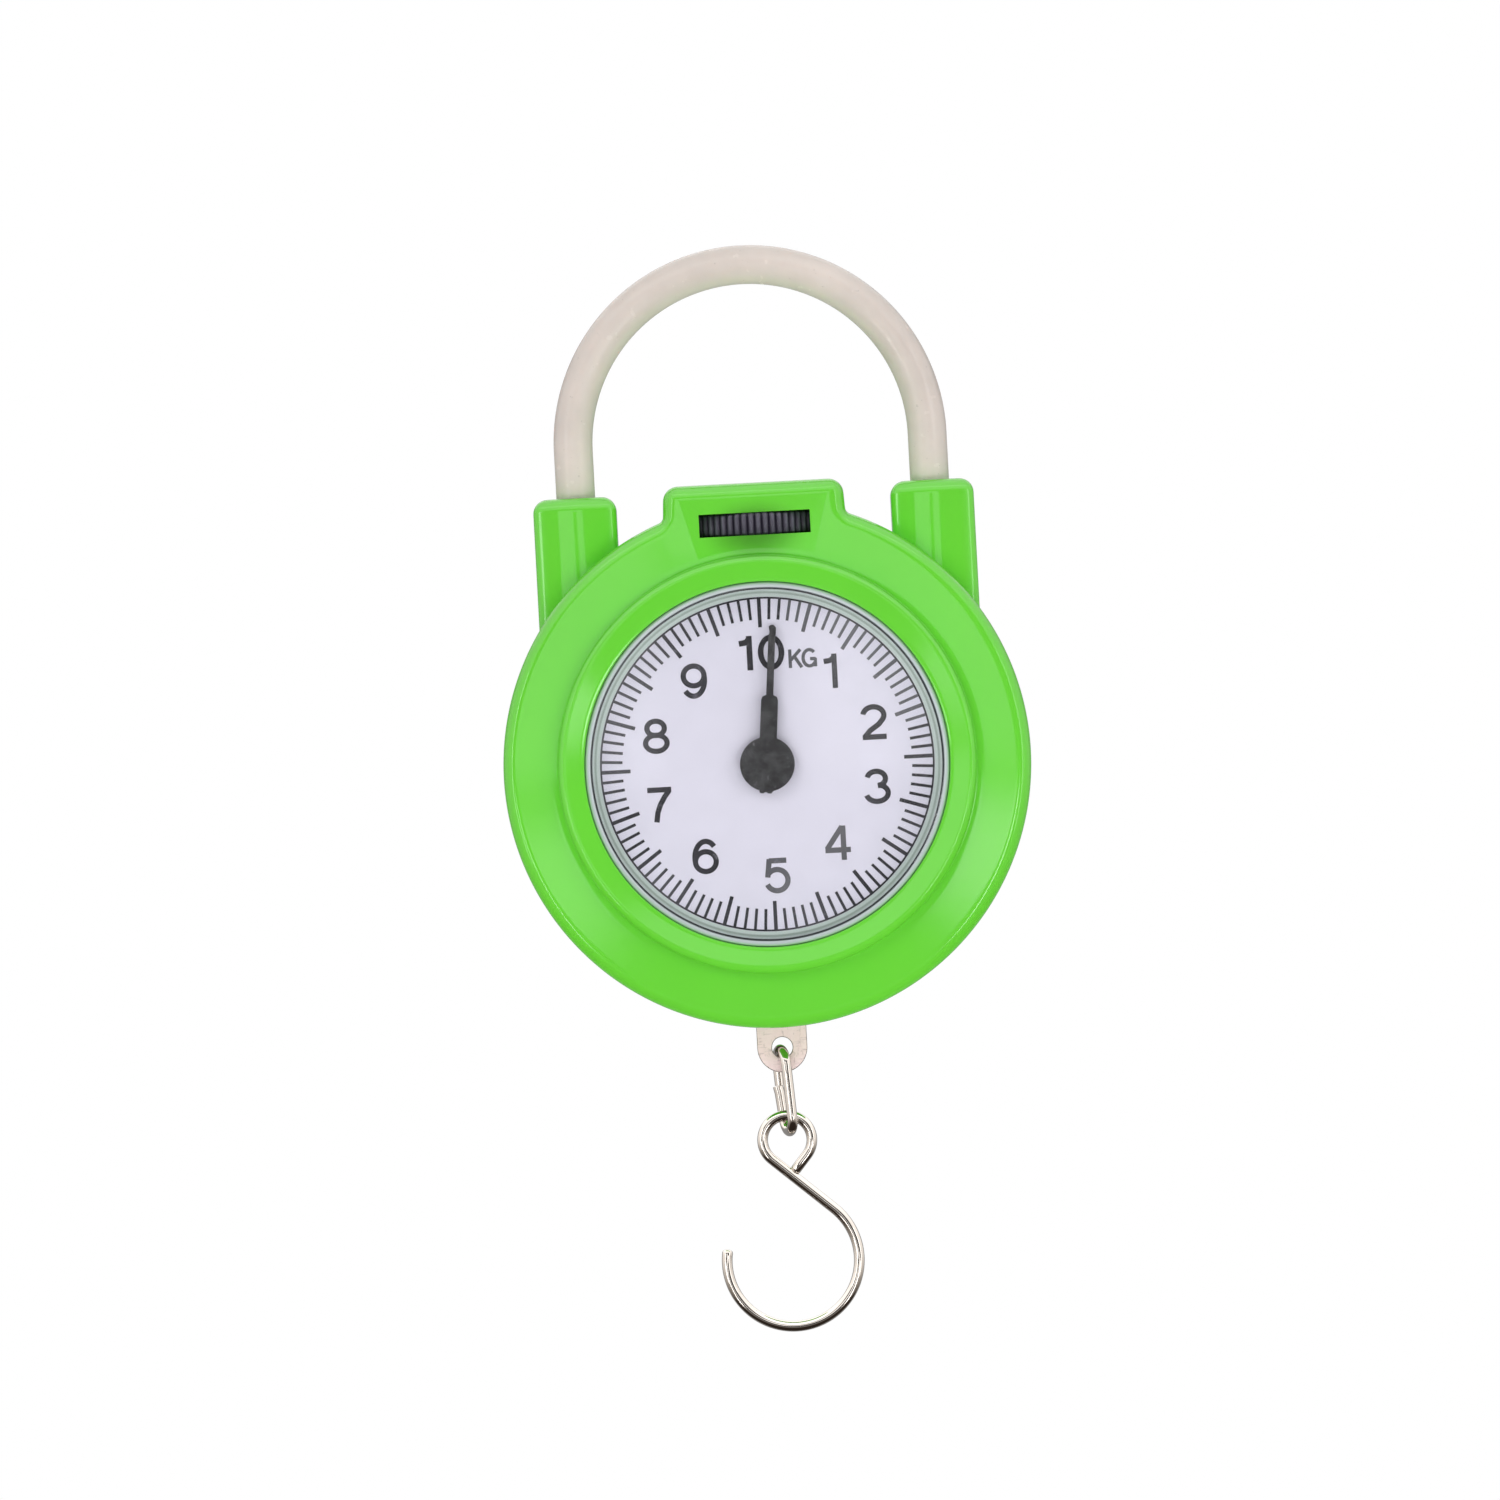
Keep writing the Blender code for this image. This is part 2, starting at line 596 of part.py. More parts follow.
def spring_path(x):
    """Centreline of an extension spring at x: a loop, the coil, and a second loop."""
    top_loop = Vector((x, 0, UPPER_LUG_Z - SPRING_LOOP_R))
    low_loop = Vector((x, 0, LOWER_LUG_Z + SPRING_LOOP_R))
    open_angle, loop_steps, turn_steps = math.radians(70), 10, 9

    def loop_points(centre, sign):
        """From the loop's open end round to its foot, which faces the coil."""
        points = []
        for i in range(loop_steps + 1):
            angle = open_angle + (2 * math.pi - open_angle) * i / loop_steps
            points.append(centre + Vector((0, math.sin(angle), -sign * math.cos(angle))) * SPRING_LOOP_R)
        return points

    coil_top = top_loop.z - SPRING_LOOP_R - SPRING_LEAD
    coil_low = low_loop.z + SPRING_LOOP_R + SPRING_LEAD
    coil = []
    for i in range(SPRING_TURNS * turn_steps + 1):
        angle = 2 * math.pi * i / turn_steps - math.pi / 2
        z = coil_top + (coil_low - coil_top) * i / (SPRING_TURNS * turn_steps)
        coil.append(Vector((x + SPRING_R * math.cos(angle), SPRING_R * math.sin(angle), z)))
    return loop_points(top_loop, 1) + coil + loop_points(low_loop, -1)[::-1]


def springs(mat, dial):
    for name, x in (("spring_left", -LUG_X), ("spring_right", LUG_X)):
        part(name, swept(spring_path(x), SPRING_WIRE_R, 4), mat, dial)


def rack_window():
    """Outline of the draw plate's window, whose right edge is the rack."""
    pitch_x = PITCH_R
    half_pitch_tooth = TOOTH_PITCH / 4 - BACKLASH / 2
    slope = math.tan(PRESSURE_ANGLE)
    half_tip = half_pitch_tooth - RACK_ADDENDUM * slope
    half_root = half_pitch_tooth + RACK_DEDENDUM * slope
    outline = [(WINDOW_LEFT_X, WINDOW_TOP_Z), (WINDOW_LEFT_X, WINDOW_LOW_Z)]
    outline.append((pitch_x + RACK_DEDENDUM, WINDOW_LOW_Z))
    for tooth in range(RACK_FIRST, RACK_LAST + 1):
        z = tooth * TOOTH_PITCH
        outline.append((pitch_x + RACK_DEDENDUM, z - half_root))
        outline.append((pitch_x - RACK_ADDENDUM, z - half_tip))
        outline.append((pitch_x - RACK_ADDENDUM, z + half_tip))
        outline.append((pitch_x + RACK_DEDENDUM, z + half_root))
    outline.append((pitch_x + RACK_DEDENDUM, WINDOW_TOP_Z))
    return outline


def draw_plate(mat, dial):
    half = PLATE_FRAME_HALF
    left = [(-half, PLATE_FRAME_TOP), (-half, PLATE_FRAME_LOW), (-STRIP_HALF, PLATE_SHOULDER_Z)]
    end = arc((0, LINK_HOLE_Z), STRIP_HALF, math.pi, 2 * math.pi, 16)
    right = [(-x, z) for x, z in reversed(left)]
    plate = part("draw_plate", prism(left + end + right, -PLATE_HALF_Y, PLATE_HALF_Y), mat, dial)
    y = PLATE_HALF_Y + HAIR
    arm_low, arm_top = LOWER_LUG_Z - LUG_ARM_HALF, LOWER_LUG_Z + LUG_ARM_HALF
    for name, x_a, x_b in (("left_arm", -LUG_X, -LUG_ARM_FOOT_X), ("right_arm", LUG_ARM_FOOT_X, LUG_X)):
        add(plate, name, box((x_a, -y, arm_low), (x_b, y, arm_top)))
    y += HAIR
    add(plate, "lugs", combined(pair_along_y(LUG_X, LOWER_LUG_Z, -y, y, LUG_R)))
    cut(plate, "window", prism(rack_window(), -2 * MM, 2 * MM))
    holes = pair_along_y(LUG_X, LOWER_LUG_Z, -2 * MM, 2 * MM, LUG_HOLE_R, ROUND_SCREW)
    holes.append(along_y(0, LINK_HOLE_Z, -2 * MM, 2 * MM, LINK_HOLE_R, 24))
    cut(plate, "holes", combined(holes))


def pinion_outline():
    """Involute teeth. A space, not a tooth, faces +X, where tooth 0 of the rack stands."""
    base_r = PITCH_R * math.cos(PRESSURE_ANGLE)

    def involute(angle):
        return math.tan(angle) - angle

    half_tooth = math.pi / (2 * PINION_TEETH) - BACKLASH / 2 / PITCH_R + involute(PRESSURE_ANGLE)
    flank = [(PINION_ROOT_R, half_tooth), (base_r, half_tooth)]
    for share in (0.35, 0.7, 1.0):
        radius = base_r + (PINION_TIP_R - base_r) * share
        flank.append((radius, half_tooth - involute(math.acos(base_r / radius))))
    outline = []
    for tooth in range(PINION_TEETH):
        centre = 2 * math.pi * (tooth + 0.5) / PINION_TEETH
        polar = [(radius, centre - angle) for radius, angle in flank]
        polar += [(radius, centre + angle) for radius, angle in reversed(flank)]
        outline += [(radius * math.cos(angle), radius * math.sin(angle)) for radius, angle in polar]
    return outline


def pinion(mat, dial):
    """Brass pinion on a hollow staff, with a shoulder behind the bridge."""
    gear = part("pinion", prism(pinion_outline(), -PINION_HALF_Y, PINION_HALF_Y), mat, dial)
    shoulder_y = BRIDGE_BACK_Y + GAP
    staff = [
        (0, STAFF_REAR_Y),
        (STAFF_REAR_R, STAFF_REAR_Y),
        (STAFF_REAR_R, 0),
        (SHOULDER_R, 0),
        (SHOULDER_R, shoulder_y),
        (STAFF_R, shoulder_y),
        (STAFF_R, STAFF_FRONT_Y),
        (0, STAFF_FRONT_Y),
    ]
    add(gear, "staff", turned(staff, ROUND_SMALL))
    cut(gear, "bore", along_y(0, 0, STAFF_FRONT_Y - MM, STAFF_REAR_Y + MM, STAFF_BORE_R, 12))


def arbor(mat, dial):
    part("arbor", along_y(0, 0, ARBOR_FRONT_Y, ARBOR_REAR_Y, ARBOR_R, 12), mat, dial)


def pointer(mat, axis):
    """Hub disc, broad arm and thin needle in one plate, with a boss that grips the staff."""
    arm_foot = math.asin(POINTER_ARM_HALF / POINTER_HUB_R)
    hub = arc((0, 0), POINTER_HUB_R, math.pi / 2 + arm_foot, math.pi * 5 / 2 - arm_foot, 28)
    arm_low = POINTER_ARM_TOP - POINTER_ARM_HALF + NEEDLE_HALF
    tip_low = NEEDLE_TIP - NEEDLE_HALF
    right = [(POINTER_ARM_HALF, arm_low), (NEEDLE_HALF, POINTER_ARM_TOP)]
    tip = arc((0, tip_low), NEEDLE_HALF, 0, math.pi, 6)
    left = [(-x, z) for x, z in reversed(right)]
    mesh = prism(hub + right + tip + left, POINTER_FRONT_Y, POINTER_BACK_Y)
    needle = part("pointer", mesh, mat, axis)
    boss_bore_r = STAFF_R + HALF_GAP
    boss = [
        (boss_bore_r, POINTER_BOSS_Y),
        (boss_bore_r, POINTER_BACK_Y),
        (boss_bore_r, POINTER_BACK_Y - POINTER_BOSS_H),
        (POINTER_BOSS_R, POINTER_BACK_Y - POINTER_BOSS_H),
        (POINTER_BOSS_R, POINTER_BOSS_Y),
    ]
    add(needle, "boss", turned(boss, ROUND_SMALL))


def link_path():
    """Open wire oval: up the rear limb, over the top, down the front limb and round the bottom."""
    length = (LINK_TOP - LINK_BOTTOM).length
    low, high = LINK_BOW_R, length - LINK_BOW_R
    flat = [(LINK_BOW_R, LINK_SEAM_Z + HALF_GAP), (LINK_BOW_R, (LINK_SEAM_Z + high) / 2)]
    flat += arc((0, high), LINK_BOW_R, 0, math.pi, 10)
    flat.append((-LINK_BOW_R, length / 2))
    flat += arc((0, low), LINK_BOW_R, math.pi, 2 * math.pi, 10)
    flat.append((LINK_BOW_R, LINK_SEAM_Z - HALF_GAP))
    up = (LINK_TOP - LINK_BOTTOM).normalized()
    # The rear limb is to the left of the front limb, as seen from the front.
    back = Vector((-math.sin(LINK_TURN), math.cos(LINK_TURN), 0))
    return [LINK_BOTTOM + back * depth + up * height for depth, height in flat]


def link(mat, dial):
    part("link", swept(link_path(), LINK_WIRE_R, 8), mat, dial, (0, 0, LINK_HOLE_Z))


def hook_path():
    """Eye, straight shank on the inner tangent of eye and bowl, and the bowl."""
    apart = BOWL_CENTRE - EYE_CENTRE
    down = math.atan2(apart.z, apart.x)
    lean = math.acos((EYE_R + BOWL_R) / apart.length)
    eye_touch = down - lean
    bowl_touch = eye_touch + math.pi
    eye_touch += 2 * math.pi
    eye = arc((EYE_CENTRE.x, EYE_CENTRE.z), EYE_R, EYE_END_ANGLE, eye_touch, 20)
    run = Vector((math.sin(EYE_END_ANGLE), -math.cos(EYE_END_ANGLE))) * EYE_END_RUN
    end = (eye[0][0] + run.x, eye[0][1] + run.y)
    bowl = arc((BOWL_CENTRE.x, BOWL_CENTRE.z), BOWL_R, bowl_touch, BOWL_TIP_ANGLE, 24)
    return [(x, 0, z) for x, z in [end] + eye + bowl]


def s_hook(mat, dial):
    pivot = (0, 0, EYE_CENTRE.z + EYE_R)
    part("s_hook", swept(hook_path(), HOOK_WIRE_R, 8), mat, dial, pivot)


def build():
    clear_scene()
    green = material("green_plastic", (0.14, 0.70, 0.05), 0.25)
    beige = material("beige_plastic", (0.68, 0.62, 0.55), 0.4)
    black = material("black_plastic", (0.02, 0.02, 0.025), 0.45)
    clear = material("clear_plastic", (0.9, 0.93, 0.92), 0.05)
    white = material("dial_white", (0.76, 0.74, 0.84), 0.5)
    steel = material("plated_steel", (0.72, 0.66, 0.62), 0.3, 1.0)
    wire = material("nickel_wire", (0.75, 0.73, 0.7), 0.12, 1.0)
    brass = material("brass", (0.75, 0.57, 0.25), 0.3, 1.0)
    screw_steel = material("screw_steel", (0.6, 0.6, 0.62), 0.35, 1.0)

    dial = empty("dial_centre", (0, 0, DIAL_Z))
    pointer_axis = empty("pointer_axis", (0, 0, 0), dial)
    pointer_axis.rotation_euler = (0, POINTER_ANGLE, 0)

    front_shell(green, dial)
    rear_cover(green, dial)
    handle(beige, dial)
    lens(clear, dial)
    dial_plate(white, dial)
    movement_bridge(steel, dial)
    for word, side in (("left", -1), ("right", 1)):
        screw(
            f"bridge_screw_{word}", side * BRIDGE_SCREW_X, 0, BRIDGE_SCREW_TIP_Y, BRIDGE_BACK_Y + GAP,
            BRIDGE_SCREW_R, BRIDGE_SCREW_HEAD_R, screw_steel, dial,
        )
        screw(
            f"case_screw_{word}", side * CASE_SCREW_X, CASE_SCREW_Z, CASE_SCREW_TIP_Y, CASE_SCREW_SEAT_Y + GAP,
            SCREW_R, SCREW_HEAD_R, screw_steel, dial,
        )
        screw(
            f"handle_screw_{word}", side * HANDLE_BEND_R, HANDLE_SCREW_Z,
            HANDLE_SCREW_TIP_Y, HANDLE_SCREW_SEAT_Y + GAP,
            SCREW_R, SCREW_HEAD_R, screw_steel, dial,
        )
    zero_wheel(black, dial)
    spring_hanger(steel, dial)
    springs(wire, dial)
    draw_plate(steel, dial)
    arbor(screw_steel, dial)
    pinion(brass, dial)
    pointer(black, pointer_axis)
    link(wire, dial)
    s_hook(wire, dial)


build()
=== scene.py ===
"""Looks of the hanging spring scale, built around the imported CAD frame.

Everything is in metres in the frame's own axes: +Z up, the dial faces -Y, +X to the right as seen
from the front. Shapes are drawn in the dial frame, whose origin is the dial's centre, with x to the
right, y to the back and z up, and moved to the dial's place in the CAD when they are made.
"""

import math

import bmesh
import bpy
from mathutils import Matrix, Vector


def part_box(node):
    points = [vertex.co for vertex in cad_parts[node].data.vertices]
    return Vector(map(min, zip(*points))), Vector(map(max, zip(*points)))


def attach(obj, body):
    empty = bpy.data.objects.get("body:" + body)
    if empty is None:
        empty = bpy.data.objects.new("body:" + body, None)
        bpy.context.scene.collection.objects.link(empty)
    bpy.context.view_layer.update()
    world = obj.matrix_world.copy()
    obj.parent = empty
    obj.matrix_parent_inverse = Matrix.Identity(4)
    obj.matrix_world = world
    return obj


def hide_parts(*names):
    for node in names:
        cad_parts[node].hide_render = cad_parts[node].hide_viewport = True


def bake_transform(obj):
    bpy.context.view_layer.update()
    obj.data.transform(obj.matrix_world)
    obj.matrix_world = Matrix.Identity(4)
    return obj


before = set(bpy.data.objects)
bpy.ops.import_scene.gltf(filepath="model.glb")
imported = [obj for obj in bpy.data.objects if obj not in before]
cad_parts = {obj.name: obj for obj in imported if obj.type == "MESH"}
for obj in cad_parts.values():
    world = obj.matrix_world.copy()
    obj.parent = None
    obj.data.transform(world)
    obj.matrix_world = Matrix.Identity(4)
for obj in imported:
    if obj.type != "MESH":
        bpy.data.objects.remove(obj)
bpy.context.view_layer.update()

MM = 0.001
SIDES = (-1, 1)
END_BULGE = 0.6  # length of a rod's rounded end, in radii


def middle(node):
    low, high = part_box(node)
    return (low + high) / 2


DIAL = Vector((0, 0, middle("dial_plate").z))  # the dial frame's origin
TO_DIAL = Matrix.Translation(DIAL)

# Camera: level, square to the dial, rolled so that the object leans 3 degrees to the left
CAMERA_DISTANCE = 2.0
FRAME_WIDTH = 0.210
CAMERA_ROLL = math.radians(3.04)
DIAL_RIGHT_OF_MIDDLE = 2.42 * MM
DIAL_BELOW_MIDDLE = 1.97 * MM
FLOOR_BELOW_DIAL = 0.3
FLOOR_R = 0.75

# Case
BODY_R = 36.8 * MM
TAB_HALF = 12.5 * MM
TAB_TOP = 39.3 * MM
TAB_LOW = 26.0 * MM
TAB_FLARE = 0.05  # growth of the half width per height towards the foot
TAB_CORNER = 2.0 * MM
TAB_FILLET = 0.55 * MM
CASE_WALL = 1.5 * MM
PARTING = 0.05 * MM
PARTING_CHAMFER = 0.15 * MM
FRONT_EDGE = 1.9 * MM
FRONT_EDGE_Y = -10.2 * MM
REAR_EDGE = 3.0 * MM
REAR_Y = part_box("rear_cover")[1].y
REAR_IN_Y = 11.1 * MM
BEZEL_R = 29.1 * MM
BEZEL_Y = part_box("front_shell")[0].y
BEZEL_EDGE = 0.9 * MM
WINDOW_R = 25.45 * MM
SLOT_HALF = 7.75 * MM
SLOT_LOW = 31.95 * MM
SLOT_TOP = 35.15 * MM
SOCKET_X = 25.0 * MM
SOCKET_HALF = 5.8 * MM
SOCKET_DEPTH = 6.0 * MM
SOCKET_LOW = 19.5 * MM
SOCKET_TOP = 38.5 * MM
SOCKET_CORNER = 2.0 * MM
SHELF_HALF = 11.2 * MM
SHELF_DEPTH = 9.6 * MM
SHELVES = ((30.4 * MM, 31.9 * MM), (35.2 * MM, 36.4 * MM))  # below and above the zero wheel
STEM_HOLE = (29 * MM, 37 * MM, 2.2 * MM)  # foot, top and radius
PLATE_SLOT = (3.65 * MM, 0.72 * MM)  # half width and half depth of the draw plate's way out
POST_R = 3.4 * MM

# Handle
HANDLE_R = 24.8 * MM
HANDLE_BEND_Z = 45.2 * MM
HANDLE_END_Z = 24.3 * MM
ROD_R = 2.725 * MM

# Screws, one on each side: x, z, tip's y, head's seat y, shank's and head's radius
SCREWS = {
    "case": (20.2 * MM, -24.0 * MM, -6.5 * MM, 7.0 * MM, 1.2 * MM, 2.0 * MM),
    "handle": (HANDLE_R, 33.0 * MM, -4.6 * MM, 4.2 * MM, 1.2 * MM, 2.0 * MM),
    "bridge": (31.7 * MM, 0, -9.2 * MM, -6.2 * MM, 0.8 * MM, 1.7 * MM),
}
SCREW_GAP = 0.05 * MM  # from seat to head
COUNTERBORE_R = 2.35 * MM
SCREW_HOLE_R = 1.35 * MM
HANDLE_HOLE_R = 1.4 * MM

# Dial and pointer
DIAL_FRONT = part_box("dial_plate")[0].y
DIAL_R = 28.6 * MM
PRINT_H = 0.03 * MM
SCALE_R = 23.2 * MM
OUTER_LINE_R = 24.53 * MM
RIM_R = 24.62 * MM  # where the window's clear face ends and its pale edge begins
MARKS = 100
STROKE = 0.74 * MM
# Marks and figures printed in the greyer ink.
GREYER_MARKS = range(3, 22)
GREYER_FIGURES = "45KG"
POINTER_ANGLE = math.radians(5)

# Draw plate, link and hook
PLATE_HALF_Y = 0.6 * MM
LINK_HOLE_Z = -39.7 * MM
LINK_HOLE_R = 1.45 * MM
PLATE_TAB_R = 3.5 * MM
PLATE_BEVEL = 0.17 * MM
LINK_WIRE_R = 0.72 * MM
HOOK_WIRE_R = 0.75 * MM

# Movement
WHEEL_R = 10.8 * MM
LUG_X = 12.5 * MM
UPPER_LUG_Z = 27.2 * MM
LOWER_LUG_Z = -6.0 * MM
SPRING_R = 3.65 * MM
SPRING_WIRE_R = 0.575 * MM
SPRING_TURNS = 17
SPRING_LOOP_R = 2.2 * MM


# -------- shapes


def arc(centre, radius, start, end, steps):
    """(x, z) points on an arc. Angles in degrees, 0 along +X and growing towards +Z."""
    rx, rz = radius if isinstance(radius, tuple) else (radius, radius)
    points = []
    for i in range(steps + 1):
        angle = math.radians(start + (end - start) * i / steps)
        points.append((centre[0] + rx * math.cos(angle), centre[1] + rz * math.sin(angle)))
    return points


def quarter_round(radius, steps):
    """Points round an edge, from its side to its face: how far in from the side, and how far short
    of the face."""
    angles = [math.pi / 2 * i / steps for i in range(steps + 1)]
    return [(radius * (1 - math.cos(angle)), radius * (1 - math.sin(angle))) for angle in angles]


def from_mm(points):
    return [(a * MM, b * MM) for a, b in points]


def around(steps):
    return [2 * math.pi * i / steps for i in range(steps)]


def added(name, data):
    obj = bpy.data.objects.new(name, data)
    bpy.context.collection.objects.link(obj)
    return obj


def evaluated(obj):
    return bpy.data.meshes.new_from_object(obj.evaluated_get(bpy.context.evaluated_depsgraph_get()))


def smoothed(mesh, sharp):
    mesh.shade_smooth()
    mesh.set_sharp_from_angle(angle=math.radians(sharp))
    return mesh


def finished(bm, name, sharp=35):
    bmesh.ops.recalc_face_normals(bm, faces=bm.faces)
    mesh = bpy.data.meshes.new(name)
    bm.to_mesh(mesh)
    bm.free()
    return smoothed(mesh, sharp)


def rings_mesh(rings, closed=False, caps=True):
    """A solid through rings of corners. A ring of one corner is a pole."""
    bm = bmesh.new()
    made = [[bm.verts.new(point) for point in ring] for ring in rings]
    pairs = list(zip(made, made[1:] + made[:1])) if closed else list(zip(made, made[1:]))
    for here, there in pairs:
        count = max(len(here), len(there))
        if count == 1:
            continue
        for i in range(count):
            j = (i + 1) % count
            places = ((here, i), (here, j), (there, j), (there, i))
            corners = [ring[place % len(ring)] for ring, place in places]
            bm.faces.new(list(dict.fromkeys(corners)))
    if caps and not closed:
        for ring in (made[0], made[-1]):
            if len(ring) > 2:
                bm.faces.new(ring)
    return finished(bm, "rings")


def turned(profile, steps=160, closed=True):
    """(radius, y) points turned about the dial's axis."""
    rings = []
    for radius, y in profile:
        if radius == 0:
            rings.append([(0, y, 0)])
            continue
        rings.append([(radius * math.sin(a), y, radius * math.cos(a)) for a in around(steps)])
    return rings_mesh(rings, closed=closed)


def prism(outline, y_a, y_b):
    return rings_mesh([[(x, y, z) for x, z in outline] for y in (y_a, y_b)])


def box(low, high):
    outline = [(low[0], low[2]), (high[0], low[2]), (high[0], high[2]), (low[0], high[2])]
    return prism(outline, low[1], high[1])


def cylinder(start, end, radius, steps=48):
    start, end = Vector(start), Vector(end)
    turn = (end - start).to_track_quat("Z", "Y").to_matrix()
    ring = [turn @ Vector((radius * math.cos(a), radius * math.sin(a), 0)) for a in around(steps)]
    return rings_mesh([[point + offset for offset in ring] for point in (start, end)])


def swept(path, radius, sides=24, round_ends=True):
    """A round wire along a smooth path. A round end bulges past the path by 0.6 of its radius."""
    path = [Vector(point) for point in path]

    def tip(end, beside):
        out = (path[end] - path[beside]).normalized()
        return [(path[end] + out * radius * END_BULGE * math.sin(a), radius * math.cos(a))
                for a in (0.5, 0.95, 1.3)]

    stations = [(point, radius) for point in path]
    if round_ends:
        stations = tip(0, 1)[::-1] + stations + tip(-1, -2)
        path = [point for point, _ in stations]
    ahead = [b - a for a, b in zip(path, path[1:])]
    turns = [a.normalized() + b.normalized() for a, b in zip(ahead, ahead[1:])]
    tangents = [ahead[0]] + turns + [ahead[-1]]
    across = tangents[0].orthogonal().normalized()
    rings = []
    for (point, size), tangent in zip(stations, tangents):
        direction = tangent.normalized()
        across = (across - direction * across.dot(direction)).normalized()
        other = direction.cross(across)
        rings.append([point + (across * math.cos(a) + other * math.sin(a)) * size for a in around(sides)])
    return rings_mesh(rings)


def flat_plate(outlines, y_front, y_back, edge=0.0, sharp=35):
    """A sheet with holes: closed (x, z) outlines, the first the outside, filled and bevelled."""
    curve = bpy.data.curves.new("outline", "CURVE")
    curve.dimensions = "2D"
    curve.fill_mode = "BOTH"
    curve.extrude = (y_back - y_front) / 2 - edge
    curve.bevel_depth = edge
    curve.bevel_resolution = 2
    curve.offset = -edge
    for outline in outlines:
        spline = curve.splines.new("POLY")
        spline.points.add(len(outline) - 1)
        for point, (x, z) in zip(spline.points, outline):
            point.co = (x, z, 0, 1)
        spline.use_cyclic_u = True
    holder = added("outline", curve)
    mesh = evaluated(holder)
    bpy.data.objects.remove(holder)
    stand = Matrix.Translation((0, (y_front + y_back) / 2, 0)) @ Matrix.Rotation(math.radians(90), 4, "X")
    mesh.transform(stand)
    bm = bmesh.new()
    bm.from_mesh(mesh)
    bmesh.ops.remove_doubles(bm, verts=bm.verts, dist=1e-7)
    return finished(bm, "plate", sharp)


def combined(meshes, sharp=35):
    bm = bmesh.new()
    for mesh in meshes:
        bm.from_mesh(mesh)
    return finished(bm, "combined", sharp)


def boolean(mesh, steps, sharp=35):
    """The mesh after (operation, other mesh) steps, with "UNION" or "DIFFERENCE"."""
    holder = added("holder", mesh)
    others = []
    for operation, other in steps:
        others.append(added("cutter", other))
        modifier = holder.modifiers.new("cut", "BOOLEAN")
        modifier.object = others[-1]
        modifier.operation = operation
        modifier.solver = "EXACT"
    result = evaluated(holder)
    for obj in [holder] + others:
        bpy.data.objects.remove(obj)
    return smoothed(result, sharp)


def piece(name, mesh, mats, body, replaces=()):
    """One visible piece: its mesh moves from the dial frame to its place. It rides on the body, or
    on none if no body is given."""
    mesh.transform(TO_DIAL)
    mesh.name = name
    for mat in mats if isinstance(mats, list) else [mats]:
        mesh.materials.append(mat)
    obj = added(name, mesh)
    if body:
        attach(obj, body)
    if replaces:
        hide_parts(*replaces)
    return obj


# -------- materials


class Nodes:
    """Helpers that add nodes to a material's or the world's node tree."""

    def __init__(self, tree):
        self.tree = tree

    def node(self, kind, **values):
        made = self.tree.nodes.new(kind)
        for key, value in values.items():
            setattr(made, key, value)
        return made

    def link(self, source, target):
        self.tree.links.new(source, target)

    def ramp(self, source, stops):
        """A value or colour ramp: stops are (position, grey or colour)."""
        made = self.node("ShaderNodeValToRGB")
        elements = made.color_ramp.elements
        elements.remove(elements[0])
        elements[0].position = stops[0][0]
        for position, _ in stops[1:]:
            elements.new(position)
        for element, (_, colour) in zip(elements, stops):
            colour = colour if isinstance(colour, tuple) else (colour,) * 3
            element.color = (*colour, 1)
        self.link(source, made.inputs["Fac"])
        return made.outputs["Color"]

    def spread(self, source, start, end, low=0.0, high=1.0, kind="LINEAR"):
        """The source's stretch from start to end, mapped to low to high."""
        made = self.node("ShaderNodeMapRange", interpolation_type=kind)
        for socket, value in zip(("From Min", "From Max", "To Min", "To Max"), (start, end, low, high)):
            made.inputs[socket].default_value = value
        self.link(source, made.inputs["Value"])
        return made.outputs["Result"]

    def feed(self, value, socket):
        """Links an output to a socket, or sets the socket to a colour or number."""
        if isinstance(value, bpy.types.NodeSocket):
            self.link(value, socket)
        else:
            socket.default_value = (*value, 1) if isinstance(value, tuple) else value

    def maths(self, operation, *values):
        made = self.node("ShaderNodeMath", operation=operation)
        for value, socket in zip(values, made.inputs):
            self.feed(value, socket)
        return made.outputs[0]

    def mix(self, share, a, b):
        """Colour a where share is 0, b where it is 1."""
        made = self.node("ShaderNodeMix", data_type="RGBA")
        self.link(share, made.inputs["Factor"])
        self.feed(a, made.inputs[6])
        self.feed(b, made.inputs[7])
        return made.outputs[2]


